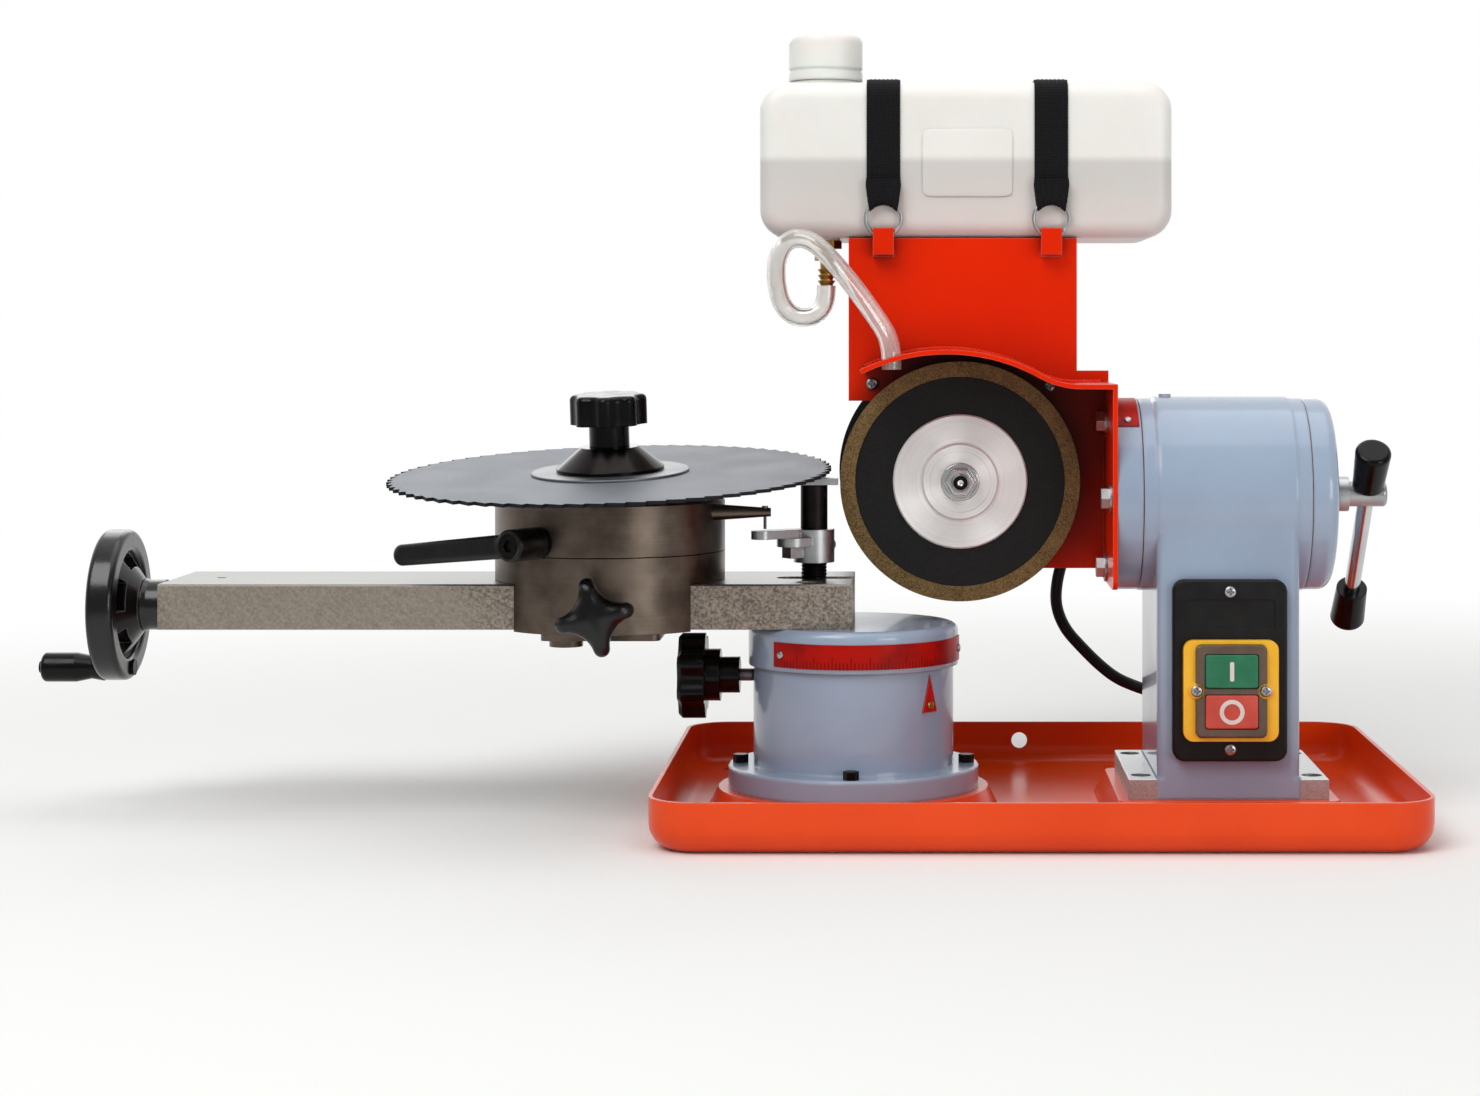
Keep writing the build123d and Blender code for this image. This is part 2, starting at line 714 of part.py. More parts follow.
def handwheel():
    """A dished wheel: round rim, thin conical web with windows, long tapered hub towards the bar."""
    mid = rim_middle_x()
    rim_in = WHEEL_RIM_R - RIM_DEPTH
    half = RIM_WIDTH / 2
    rim = make_face(
        Polyline((rim_in, -half), (WHEEL_RIM_R, -half), (WHEEL_RIM_R, half), (rim_in, half), close=True)
    )
    rim = fillet(rim.vertices(), RIM_ROUND)
    web = make_face(
        Polyline(
            (rim_in + 1, -WEB_THICK / 2),
            (rim_in + 1, WEB_THICK / 2),
            (HUB_R - 2, DISH + WEB_THICK),
            (HUB_R - 2, DISH - WEB_THICK),
            close=True,
        )
    )
    bore = SCREW_R + RUN
    hub = make_face(
        Polyline(
            (bore, -half + 1),
            (HUB_R - 1, -half + 1),
            (HUB_R, DISH + WEB_THICK),
            (HUB_NOSE_R, DISH + 1.5 * WEB_THICK),
            (HUB_NOSE_R, HUB_LENGTH),
            (bore, HUB_LENGTH),
            close=True,
        )
    )
    solid = x_plane(mid, WORK_Y, SCREW_Z) * revolve(Plane.XZ * (rim + web + hub), Axis.Z)
    window_in, window_out = HUB_R + 6, rim_in - 1
    for i in range(WINDOWS):
        middle = 90 + i * 360 / WINDOWS
        left, right = middle - WINDOW_SWEEP / 2, middle + WINDOW_SWEEP / 2
        cut = band(window_in, window_out - window_in, 4 * DISH, left, right)
        solid -= x_plane(mid - 2 * DISH, WORK_Y, SCREW_Z) * cut
    crank_z = SCREW_Z - CRANK_RADIUS
    return solid - along_x(mid - RIM_WIDTH, mid + RIM_WIDTH, CRANK_PIN_R + RUN, WORK_Y, crank_z)


def crank_pin():
    mid = rim_middle_x()
    z = SCREW_Z - CRANK_RADIUS
    left = mid - RIM_WIDTH / 2 - GRIP_LENGTH - 2
    head = along_x(mid + RIM_WIDTH / 2, mid + RIM_WIDTH / 2 + 1.5, CRANK_PIN_R + 1.2, WORK_Y, z)
    return along_x(left, mid + RIM_WIDTH / 2, CRANK_PIN_R, WORK_Y, z) + head


def crank_grip():
    x1 = rim_middle_x() - RIM_WIDTH / 2 - PART_GAP
    place = x_plane(x1 - GRIP_LENGTH, WORK_Y, SCREW_Z - CRANK_RADIUS)
    bore = CRANK_PIN_R + RUN
    outline = make_face(
        Polyline(
            (bore, 0),
            (GRIP_R, 0),
            (GRIP_R, GRIP_LENGTH * 0.55),
            (GRIP_NECK_R, GRIP_LENGTH * 0.8),
            (GRIP_R - 0.5, GRIP_LENGTH),
            (bore, GRIP_LENGTH),
            close=True,
        )
    )
    outline = fillet(outline.vertices().sort_by(Axis.Y)[:2].sort_by(Axis.X)[-1:], GRIP_ROUND)
    return place * revolve(Plane.XZ * outline, Axis.Z)


def saddle():
    low = BAR_Z0 - SADDLE_SKIRT
    body = along_z(low, SADDLE_TOP, SEAT_R, SEAT_X, WORK_Y)
    half = BAR_WIDTH / 2 + SLIDE
    x0, x1 = SEAT_X - 2 * SEAT_R, SEAT_X + 2 * SEAT_R
    body -= block(x0, x1, WORK_Y - half, WORK_Y + half, low, BAR_Z1 + SLIDE)
    body += along_z(SADDLE_TOP, SADDLE_TOP + SADDLE_SPIGOT_HEIGHT, SADDLE_SPIGOT_R, SEAT_X, WORK_Y)
    screw = STAR_SCREW_R + RUN
    return body - along_y(WORK_Y - SEAT_R - 1, WORK_Y - half + 1, screw, SEAT_X, SADDLE_TOP - star_drop())


def star_drop():
    """Depth of the star knob's axis under the saddle's top, at the middle of the bar."""
    return SADDLE_HEIGHT + STAR_DROP


def saddle_keeper():
    """A plate under the bar that holds the saddle down and carries the lead nut, and its screw head."""
    top = BAR_Z0 - SADDLE_SKIRT
    half = BAR_WIDTH / 2 + KEEPER_LIP
    long = KEEPER_LENGTH / 2
    plate = block(SEAT_X - long, SEAT_X + long, WORK_Y - half, WORK_Y + half, top - KEEPER_THICK, top)
    plate = fillet(plate.edges().filter_by(Axis.Z), 4)
    head = along_z(
        top - KEEPER_THICK - GIB_SCREW_HEIGHT,
        top - KEEPER_THICK,
        GIB_SCREW_R,
        SEAT_X - long * 0.6,
        WORK_Y - half * 0.8,
    )
    return plate + head


def lead_nut():
    low = BAR_Z0 - SADDLE_SKIRT
    wide = GROOVE_WIDTH / 2 - SLIDE - SOFT_GAP
    long = NUT_LENGTH / 2
    top = BAR_Z0 + GROOVE_DEPTH - SLIDE - SOFT_GAP
    body = block(SEAT_X - long, SEAT_X + long, WORK_Y - wide, WORK_Y + wide, low, top)
    return body - along_x(SEAT_X - NUT_LENGTH, SEAT_X + NUT_LENGTH, SCREW_R + RUN, WORK_Y, SCREW_Z)


def star_knob():
    z = SADDLE_TOP - star_drop()
    y0 = WORK_Y - SEAT_R - STAR_STAND
    outline = Rot(0, 0, STAR_TURN) * lobed(4, STAR_TIP_R, STAR_WAIST_R, STAR_LOBE_R)
    head = front_plane(SEAT_X, y0, z) * extrude(outline, STAR_THICK)
    head = fillet(head.edges().group_by(Axis.Y)[0], 2.2)
    boss = along_y(y0, WORK_Y - SEAT_R - SOFT_GAP, STAR_BOSS_R, SEAT_X, z)
    screw = along_y(y0, WORK_Y - BAR_WIDTH / 2 - 2 * SLIDE, STAR_SCREW_R, SEAT_X, z)
    return head + boss + screw


def lean():
    """The blade's place: its middle, with its axis leaning to the front and left."""
    return Location((SEAT_X, WORK_Y, BLADE_Z), (LEAN_FRONT, -LEAN_LEFT, 0))


def seat():
    body = along_z(SEAT_Z0, SEAT_Z1, SEAT_R, SEAT_X, WORK_Y)
    body = chamfer(body.edges().group_by(Axis.Z)[-1], SEAT_CHAMFER)
    depth = SADDLE_SPIGOT_HEIGHT + PART_GAP
    body -= along_z(SEAT_Z0, SADDLE_TOP + depth, SADDLE_SPIGOT_R + RUN, SEAT_X, WORK_Y)
    bore = Cylinder(LEVER_SCREW_R + RUN, 2 * LEVER_HUB_LENGTH)
    body -= lever_place() * Pos(0, 0, -LEVER_HUB_LENGTH) * bore
    return body - index_rod()


def blade_hub():
    low = SEAT_Z1 - BLADE_Z - SEAT_R
    face = -BLADE_THICK / 2 - PART_GAP / 4
    disc = Pos(0, 0, low) * Cylinder(HUB_FACE_R, face - low, align=UP)
    pilot = Pos(0, 0, face) * Cylinder(BLADE_BORE / 2 - RUN, BLADE_THICK + PART_GAP / 4, align=UP)
    height = BLADE_THICK + WASHER_THICK + CONE_HEIGHT + NECK_LENGTH
    stud = Pos(0, 0, face) * Cylinder(STUD_R, height, align=UP)
    under = Pos(SEAT_X, WORK_Y, SEAT_Z1) * Cylinder(
        2 * SEAT_R, 4 * SEAT_R, align=(Align.CENTER, Align.CENTER, Align.MAX)
    )
    return lean() * (disc + pilot + stud) - under


def saw_blade():
    """Ratchet teeth: each back rises along the turn, then a short face drops to the next root."""
    step = 360 / BLADE_TEETH
    points = []
    for i in range(BLADE_TEETH):
        points.append(polar(BLADE_R - TOOTH_DEPTH, i * step))
        points.append(polar(BLADE_R, (i + 1 - TOOTH_FACE_SHARE) * step))
    outline = make_face(Polyline(*points, close=True))
    plate = extrude(outline, BLADE_THICK / 2, both=True)
    return lean() * (plate - Cylinder(BLADE_BORE / 2, 2 * BLADE_THICK))


def above_blade():
    """Height of the clamp washer's underside over the blade's middle."""
    return BLADE_THICK / 2 + PART_GAP / 4


def clamp_washer():
    ring = Cylinder(WASHER_R, WASHER_THICK, align=UP) - Cylinder(STUD_R + RUN, 3 * WASHER_THICK)
    ring = chamfer(ring.edges().group_by(Axis.Z)[-1].sort_by(SortBy.LENGTH)[-1:], WASHER_THICK / 3)
    return lean() * Pos(0, 0, above_blade()) * ring


def clamp_cone():
    bore = STUD_R + RUN
    outline = make_face(
        Polyline(
            (bore, 0),
            (CONE_R, 0),
            (CONE_R, CONE_FOOT),
            (CONE_TOP_R, CONE_HEIGHT),
            (bore, CONE_HEIGHT),
            close=True,
        )
    )
    place = lean() * Pos(0, 0, above_blade() + WASHER_THICK)
    return place * revolve(Plane.XZ * outline, Axis.Z)


def clamp_knob():
    neck = Cylinder(NECK_R, NECK_LENGTH, align=UP)
    head = extrude(lobed(KNOB_LOBES, KNOB_R, KNOB_WAIST_R, KNOB_LOBE_R), KNOB_HEIGHT)
    head = fillet(head.edges().group_by(Axis.Z)[-1], KNOB_ROUND)
    bore = Cylinder(STUD_R + RUN, NECK_LENGTH + 1, align=UP)
    place = lean() * Pos(0, 0, above_blade() + WASHER_THICK + CONE_HEIGHT)
    return place * (neck + Pos(0, 0, NECK_LENGTH) * head - bore)


def lever_place():
    """The clamp lever's stud: on the seat's side, Z outward, X level along the lever's arm."""
    out = Vector(*polar(1, LEVER_ANGLE), 0)
    start = Vector(SEAT_X, WORK_Y, SEAT_Z0 + LEVER_RISE) + out * (SEAT_R + LEVER_STAND)
    return Plane(start, x_dir=(out.Y, -out.X, 0), z_dir=out)


def clamp_lever():
    hub = Cylinder(LEVER_HUB_R, LEVER_HUB_LENGTH, align=UP)
    hub = fillet(hub.edges().group_by(Axis.Z)[-1], 1.2)
    arm_z = LEVER_HUB_LENGTH - LEVER_ARM_THICK
    arm = make_face(
        [
            Line((0, -LEVER_HUB_R * 0.75), (LEVER_ARM, -LEVER_TIP_R)),
            ThreePointArc(
                (LEVER_ARM, -LEVER_TIP_R), (LEVER_ARM + LEVER_TIP_R, 0), (LEVER_ARM, LEVER_TIP_R)
            ),
            Line((LEVER_ARM, LEVER_TIP_R), (0, LEVER_HUB_R * 0.75)),
            Line((0, LEVER_HUB_R * 0.75), (0, -LEVER_HUB_R * 0.75)),
        ]
    )
    arm = Pos(0, 0, arm_z) * extrude(arm, LEVER_ARM_THICK - 1)
    arm = fillet(arm.edges().filter_by(GeomType.LINE).filter_by(Axis.Z, reverse=True), 2.0)
    body = hub + arm - Cylinder(LEVER_SCREW_R + RUN, 3 * LEVER_HUB_LENGTH)
    recess = Pos(0, 0, LEVER_HUB_LENGTH - 3) * Cylinder(LEVER_HUB_R - 2, 4, align=UP)
    return lever_place() * Rot(0, 0, LEVER_DIP) * (body - recess)


def lever_screw():
    head_r = LEVER_HUB_R - 2 - SLIDE
    head = Pos(0, 0, LEVER_HUB_LENGTH - 3) * Cylinder(head_r, 2.6, align=UP)
    shank = Pos(0, 0, -12) * Cylinder(LEVER_SCREW_R, LEVER_HUB_LENGTH + 9.5, align=UP)
    key = Pos(0, 0, LEVER_HUB_LENGTH - 2) * hexagon(head_r, 3)
    return lever_place() * (head + shank - key)


def index_rod():
    """A tapered rod that sticks out of the seat's right side, level, along +X."""
    y = WORK_Y - ARM_SETBACK
    x0 = SEAT_X + sqrt(SEAT_R**2 - ARM_SETBACK**2) - 8
    x1 = SEAT_X + ARM_REACH + 3
    length = x1 - x0
    outline = make_face(
        Polyline((0, 0), (ARM_ROOT_R, 0), (ARM_ROOT_R, 8), (ARM_TIP_R, length), (0, length), close=True)
    )
    return x_plane(x0, y, SEAT_Z0 + ARM_RISE) * revolve(Plane.XZ * outline, Axis.Z)


def index_arm():
    x = SEAT_X + ARM_REACH
    y = WORK_Y - ARM_SETBACK
    z = SEAT_Z0 + ARM_RISE
    head = along_z(z + ARM_TIP_R - 0.6, z + ARM_TIP_R + 1, RIVET_R, x, y)
    return index_rod() + head + along_z(z - INDEX_PIN_DROP, z, INDEX_PIN_R, x, y)


def stop_post():
    floor = BAR_Z1 - SLOT_DEPTH
    stem = along_z(floor, BAR_Z1 + STEM_HEIGHT, STEM_R, POST_X, WORK_Y)
    return stem + along_z(BAR_Z1 + STEM_HEIGHT, BAR_Z1 + POST_TOP, POST_R, POST_X, WORK_Y)


def stop_finger():
    low = BAR_Z1 + POST_TOP
    x1 = POST_X + FINGER_REACH
    y1 = WORK_Y - FINGER_FRONT
    plate = along_z(low, low + FINGER_THICK, POST_R - 1, POST_X, WORK_Y)
    blade = block(POST_X - POST_R + 1, x1, y1 - FINGER_WIDTH, y1, low, low + FINGER_THICK)
    return plate + blade


def collar_low():
    return BAR_Z1 + STEM_HEIGHT + SOFT_GAP


def stop_collar():
    """A pinch collar on the post: a short link at its top, and the plate that the index pin meets."""
    z0 = collar_low()
    z1 = z0 + COLLAR_HEIGHT
    link = SlotCenterPoint((STOP_LINK_LENGTH / 2, 0), (STOP_LINK_LENGTH, 0), 2 * STOP_LINK_R)
    link = Pos(0, 0, STOP_LINK_RISE - STOP_LINK_THICK) * extrude(link, STOP_LINK_THICK)
    middle = (STOP_LINK_LENGTH + STOP_TIP_LENGTH) / 2
    tip = SlotCenterPoint((middle, 0), (STOP_TIP_LENGTH, 0), 2 * STOP_TIP_R)
    tip = Pos(0, 0, STOP_LINK_RISE) * extrude(tip, STOP_TIP_THICK)
    block_under = block(COLLAR_R - 2, COLLAR_R + 7, -4, 4, STOP_LINK_RISE * 0.2, STOP_LINK_RISE * 0.66)
    middle_z = COLLAR_HEIGHT / 2
    pinch = rod((-COLLAR_R - 1.6, 0, middle_z), (-COLLAR_R + 2, 0, middle_z), PINCH_R)
    arm = Cylinder(COLLAR_R, COLLAR_HEIGHT, align=UP) + link + tip + block_under + pinch
    arm = Pos(POST_X, WORK_Y, z0) * Rot(0, 0, STOP_ARM_ANGLE) * arm
    return arm - along_z(z0 - 1, z1 + STOP_TIP_THICK + 1, POST_R + RUN, POST_X, WORK_Y)


def column():
    """A tombstone casting: a hollow box post that ends in a cross tube."""
    depth = COLUMN_DEPTH / 2
    post = block(COLUMN_X0, COLUMN_X1, WORK_Y - depth, WORK_Y + depth, BASE_TOP, TILT_Z)
    post = fillet(post.edges().filter_by(Axis.Z), COLUMN_EDGE)
    foot = block(COLUMN_X0, COLUMN_X1, WORK_Y - depth, WORK_Y + depth, PAD_TOP, BASE_TOP)
    head = along_x(COLUMN_X0, COLUMN_X1, HEAD_R, WORK_Y, TILT_Z)
    head = fillet(head.edges(), 2.0)
    collar = along_x(COLUMN_X0 - HEAD_COLLAR, COLUMN_X1 + HEAD_COLLAR, HEAD_COLLAR_R, WORK_Y, TILT_Z)
    oiler = along_z(TILT_Z + HEAD_R - 2, TILT_Z + HEAD_R + OILER_HEIGHT, OILER_R, COLUMN_X0 + 8, WORK_Y)
    inner_top = TILT_Z - HEAD_R - COLUMN_WALL
    cavity = block(
        COLUMN_X0 + COLUMN_WALL,
        COLUMN_X1 - COLUMN_WALL,
        COLUMN_FRONT + COLUMN_WALL,
        COLUMN_BACK - COLUMN_WALL,
        PAD_TOP,
        inner_top,
    )
    body = post + foot + head + collar + oiler - cavity
    x0, x1 = COLUMN_X0 - 2 * HEAD_COLLAR, COLUMN_X1 + 2 * HEAD_COLLAR
    body -= along_x(x0, x1, TILT_SHAFT_R + RUN, WORK_Y, TILT_Z)
    body -= switch_well(COLUMN_FRONT - 1, COLUMN_FRONT + COLUMN_WALL + 1)
    lead = gland_place()
    body -= along_y(COLUMN_BACK - COLUMN_WALL - 1, COLUMN_BACK + 1, LEAD_R + RUN, lead[0], lead[2])
    return body - bolt_holes()


def column_feet():
    """Two ground steel bars, welded to the sides of the column and screwed to the tray."""
    feet = []
    depth = COLUMN_DEPTH / 2
    for x0, x1 in ((COLUMN_X0 - FOOT_WIDTH, COLUMN_X0), (COLUMN_X1, COLUMN_X1 + FOOT_WIDTH)):
        foot = block(x0, x1, WORK_Y - depth, WORK_Y + depth, PAD_TOP, BASE_TOP)
        foot = chamfer(foot.edges().group_by(Axis.Z)[-1], 0.6)
        for x, y, top in bolt_places()[:4]:
            low = BASE_TOP - SOCKET_SUNK - SOCKET_HEAD_HEIGHT
            foot -= along_z(low, BASE_TOP + 1, SOCKET_HEAD_R + COUNTERBORE_GAP, x, y)
        feet.append(foot - bolt_holes())
    return Compound(feet)


def switch_well(y0, y1):
    """The window behind the buttons."""
    wide = BEZEL_WIDTH / 2 - BEZEL_LIP + 1
    tall = BUTTON_PITCH / 2 + BUTTON_HEIGHT / 2 + 1
    return block(COLUMN_X - wide, COLUMN_X + wide, y0, y1, FRAME_Z - tall, FRAME_Z + tall)


def rounded_plate(width, height, corner, x, z, y0, y1):
    return slab_y(Pos(x, z) * RectangleRounded(width, height, corner), y0, y1)


def switch_plate():
    body = rounded_plate(
        SWITCH_WIDTH, SWITCH_HEIGHT, SWITCH_CORNER, COLUMN_X, SWITCH_Z, PLATE_FRONT_Y, COLUMN_FRONT
    )
    body = chamfer(body.edges().group_by(Axis.Y)[0], 1.0)
    name_z = (SWITCH_Z + SWITCH_HEIGHT / 2 + FRAME_Z + FRAME_HEIGHT / 2) / 2 - 2
    recess_floor = PLATE_FRONT_Y + NAME_RECESS_DEPTH
    recess = rounded_plate(*NAME_RECESS, 1.5, COLUMN_X, name_z, PLATE_FRONT_Y - 1, recess_floor)
    return body - recess - switch_well(PLATE_FRONT_Y - 1, COLUMN_FRONT + 1)


def switch_frame():
    body = rounded_plate(FRAME_WIDTH, FRAME_HEIGHT, 5.0, COLUMN_X, FRAME_Z, FRAME_FRONT_Y, PLATE_FRONT_Y)
    y0, y1 = FRAME_FRONT_Y - 2, PLATE_FRONT_Y + 1
    body -= rounded_plate(BEZEL_WIDTH, BEZEL_HEIGHT, 3.0, COLUMN_X, FRAME_Z, y0, y1)
    for ear in frame_ears(EAR_R, FRAME_FRONT_Y - 1, PLATE_FRONT_Y):
        body += ear
    return body


def frame_ears(radius, y0, y1):
    """The two round screw ears of the frame, left and right of the buttons."""
    return [along_y(y0, y1, radius, COLUMN_X + s * EAR_PITCH / 2, FRAME_Z) for s in (-1, 1)]


def switch_bezel():
    body = rounded_plate(
        BEZEL_WIDTH - 2 * RUN,
        BEZEL_HEIGHT - 2 * RUN,
        3.0,
        COLUMN_X,
        FRAME_Z,
        BEZEL_FRONT_Y,
        PLATE_FRONT_Y,
    )
    body = fillet(body.edges().group_by(Axis.Y)[0], 1.2)
    for s in (-1, 1):
        body -= button_box(s, 0, BEZEL_FRONT_Y - 1, PLATE_FRONT_Y + 1)
    return body - frame_ears(EAR_R + RUN, BEZEL_FRONT_Y - 1, PLATE_FRONT_Y + 1)


def button_box(place, inset, y0, y1):
    """The space of one button: place is 1 for start (upper) and -1 for stop."""
    width = BEZEL_WIDTH - 2 * BEZEL_LIP - 2 * inset
    z = FRAME_Z + place * BUTTON_PITCH / 2
    return rounded_plate(width, BUTTON_HEIGHT - 2 * inset, 1.5, COLUMN_X, z, y0, y1)


def button(place):
    body = button_box(place, BUTTON_SIDE, BEZEL_FRONT_Y - BUTTON_PROUD, PLATE_FRONT_Y + 1)
    return fillet(body.edges().group_by(Axis.Y)[0], 0.8)


def gland_place():
    """Where the motor lead enters the column's back: the outer face of the gland."""
    return (COLUMN_X0 + 14, COLUMN_BACK + GLAND_LENGTH, BASE_TOP + 26)


def lead_gland():
    x, y, z = gland_place()
    nut = front_plane(x, COLUMN_BACK + GLAND_LENGTH * 0.5, z) * hexagon(2 * GLAND_R, GLAND_LENGTH * 0.5)
    body = nut + along_y(COLUMN_BACK + GLAND_LENGTH * 0.4, y, GLAND_R * 0.85, x, z)
    return body - along_y(COLUMN_BACK - 1, y + 1, LEAD_R + RUN, x, z)


def tilt_flange():
    disc = along_x(TILT_X0, TILT_X1, TILT_FLANGE_R - SCALE_THICK, WORK_Y, TILT_Z)
    shaft = along_x(TILT_X1, CAP_X0 - PART_GAP, TILT_SHAFT_R, WORK_Y, TILT_Z)
    inner = CAP_X0 - CLAMP_SCREW_LENGTH
    body = disc + shaft - along_x(inner, CAP_X1, CLAMP_SCREW_R + RUN, WORK_Y, TILT_Z)
    for y, z in hood_bolt_places():
        body -= along_x(TILT_X0, TILT_X0 + 8, HOOD_BOLT_SHANK / 2 + RUN, y, z)
    return body


def tilt_scale():
    radius = TILT_FLANGE_R - SCALE_THICK + RUN
    first, last = 90 - TILT_SCALE_SWEEP / 2, 90 + TILT_SCALE_SWEEP / 2
    strip = band(radius, SCALE_THICK, TILT_SCALE_WIDTH, first, last)
    for head in scale_rivets(radius, TILT_SCALE_WIDTH / 2, (first + 5, last - 5)):
        strip += head
    return x_plane(TILT_X0 + 0.5, WORK_Y, TILT_Z) * strip


def hood_turn():
    """Angle at which the hood's top arc ends, and the centre of the hollow arc that follows it."""
    angle = degrees(acos((HOOD_TURN_X - HOOD_ARC_X) / HOOD_ARC_R))
    dx, dz = polar(HOOD_ARC_R + HOOD_TURN_R, angle)
    return angle, (HOOD_ARC_X + dx, HOOD_ARC_Z + dz)


def hood_flat_z():
    """Height of the flat end of the hood's top, over the tilt flange."""
    return hood_turn()[1][1] - HOOD_TURN_R


def hood_section(side_x1):
    """The hood top's cross-section: a crowned arc, a hollow arc and a flat, one sheet thick."""
    left = degrees(acos((HOOD_LEFT - HOOD_ARC_X) / HOOD_ARC_R))
    turn, (cx, cz) = hood_turn()
    middle, hollow = (left + turn) / 2, (turn + 450) / 2

    def crown(radius, angle):
        dx, dz = polar(radius, angle)
        return (HOOD_ARC_X + dx, HOOD_ARC_Z + dz)

    def saddle_arc(radius, angle):
        dx, dz = polar(radius, angle)
        return (cx + dx, cz + dz)

    top, low = HOOD_ARC_R, HOOD_ARC_R - HOOD_SHEET
    up, down = HOOD_TURN_R, HOOD_TURN_R + HOOD_SHEET
    flat, under = hood_flat_z(), hood_flat_z() - HOOD_SHEET
    edges = [
        ThreePointArc(crown(top, left), crown(top, middle), crown(top, turn)),
        ThreePointArc(crown(top, turn), saddle_arc(up, hollow), (cx, flat)),
        Polyline((cx, flat), (side_x1, flat), (side_x1, under), (cx, under)),
        ThreePointArc((cx, under), saddle_arc(down, hollow), crown(low, turn)),
        ThreePointArc(crown(low, turn), crown(low, middle), crown(low, left)),
        Line(crown(low, left), crown(top, left)),
    ]
    return make_face(edges)


def hose_hole():
    return (-73.0, -35.0)


def hood():
    """Welded sheet: back plate with the tank upright, curved top, bolting side plate, shelf and hooks."""
    flat_z = hood_flat_z()
    side_x1 = SIDE_X0 + HOOD_SHEET
    reach = WHEEL_R - 5
    rise = PLATE_BOTTOM - WHEEL_Z
    low_x = WHEEL_X - sqrt(reach**2 - rise**2)
    lift = PLATE_STEP - WHEEL_Z
    step_x = WHEEL_X - sqrt(reach**2 - lift**2)
    outline = [
        Polyline(
            (step_x, PLATE_STEP),
            (UPRIGHT_LEFT, PLATE_STEP),
            (UPRIGHT_LEFT, SHELF_Z),
            (UPRIGHT_RIGHT, SHELF_Z),
            (UPRIGHT_RIGHT, PLATE_SHOULDER),
            (side_x1, PLATE_SHOULDER),
            (side_x1, PLATE_BOTTOM),
            (low_x, PLATE_BOTTOM),
        ),
        ThreePointArc((low_x, PLATE_BOTTOM), (WHEEL_X - reach, WHEEL_Z), (step_x, PLATE_STEP)),
    ]
    plate = slab_y(make_face(outline), BACK_PLATE_Y, PLATE_BACK_Y)
    plate -= along_y(BACK_PLATE_Y - 1, PLATE_BACK_Y + 1, SHAFT_R + 6, WHEEL_X, WHEEL_Z)

    top = slab_y(hood_section(side_x1), HOOD_Y0, BACK_PLATE_Y)
    hole_x, hole_y = hose_hole()
    top -= along_z(WHEEL_Z, SHELF_Z, HOSE_HOLE_R, hole_x, hole_y)

    side = make_face(
        Polyline(
            (HOOD_Y0, SIDE_BOTTOM),
            (WORK_Y + HOOD_FRONT, SIDE_BOTTOM),
            (WORK_Y + HOOD_FRONT, flat_z),
            (HOOD_Y0, flat_z),
            close=True,
        )
    )
    side = slab_x(fillet(side.vertices().group_by(Axis.Y)[0], 6), SIDE_X0, side_x1)
    for y, z in hood_bolt_places():
        side -= along_x(SIDE_X0 - 1, side_x1 + 1, HOOD_BOLT_SHANK / 2 + RUN, y, z)

    shelf = block(UPRIGHT_LEFT, UPRIGHT_RIGHT, BACK_PLATE_Y, TANK_BACK, SHELF_Z - HOOD_SHEET, SHELF_Z)
    flange_y = TANK_BACK - HOOD_SHEET
    flange_low = SHELF_Z - SHELF_FLANGE
    shelf += block(UPRIGHT_LEFT, UPRIGHT_RIGHT, flange_y, TANK_BACK, flange_low, SHELF_Z)
    gusset = make_face(
        Polyline(
            (PLATE_BACK_Y - 1, SHELF_Z - GUSSET_DROP),
            (PLATE_BACK_Y - 1, SHELF_Z - 1),
            (TANK_BACK - 1, SHELF_Z - 1),
            (TANK_BACK - 1, SHELF_Z - SHELF_FLANGE),
            close=True,
        )
    )
    for x in (UPRIGHT_LEFT, UPRIGHT_RIGHT - HOOD_SHEET):
        shelf += slab_x(gusset, x, x + HOOD_SHEET)
    body = plate + top + side + shelf
    for x in STRAP_X:
        body += strap_hook(x)
    return body


def strap_hook(x):
    """A sheet tab on the upright that folds over the bottom of the strap's ring."""
    half = HOOK_WIDTH / 2
    wire_z = RING_Z - sqrt((RING_R - RING_WIRE_R) ** 2 - half**2)
    top = wire_z + SLIDE + HOOK_SHEET
    ring_y = ring_plane_y()
    gap = RING_WIRE_R + SLIDE
    low = SHELF_Z - 10
    back = block(x - half, x + half, ring_y + gap, ring_y + gap + HOOK_SHEET, low, top)
    front = ring_y - gap - HOOK_SHEET
    fold = block(x - half, x + half, front, ring_y + gap + HOOK_SHEET, top - HOOK_SHEET, top)
    lip = block(x - half, x + half, front, ring_y - gap, low + 1, top)
    foot = block(x - half, x + half, ring_y + gap, BACK_PLATE_Y + 0.5, low, low + 4)
    return back + fold + lip + foot


def ring_plane_y():
    """The depth of the strap rings: just in front of the strap's inner layer."""
    return TANK_FRONT - SOFT_GAP - STRAP_THICK - SLIDE - RING_WIRE_R


def hood_bolt_places():
    """(y, z) of the bolts that hold the hood to the tilt flange, on a circle round the tilt axis."""
    places = []
    for i in range(HOOD_BOLT_COUNT):
        dy, dz = polar(HOOD_BOLT_CIRCLE_R, i * 360 / HOOD_BOLT_COUNT)
        places.append((WORK_Y + dy, TILT_Z + dz))
    return places


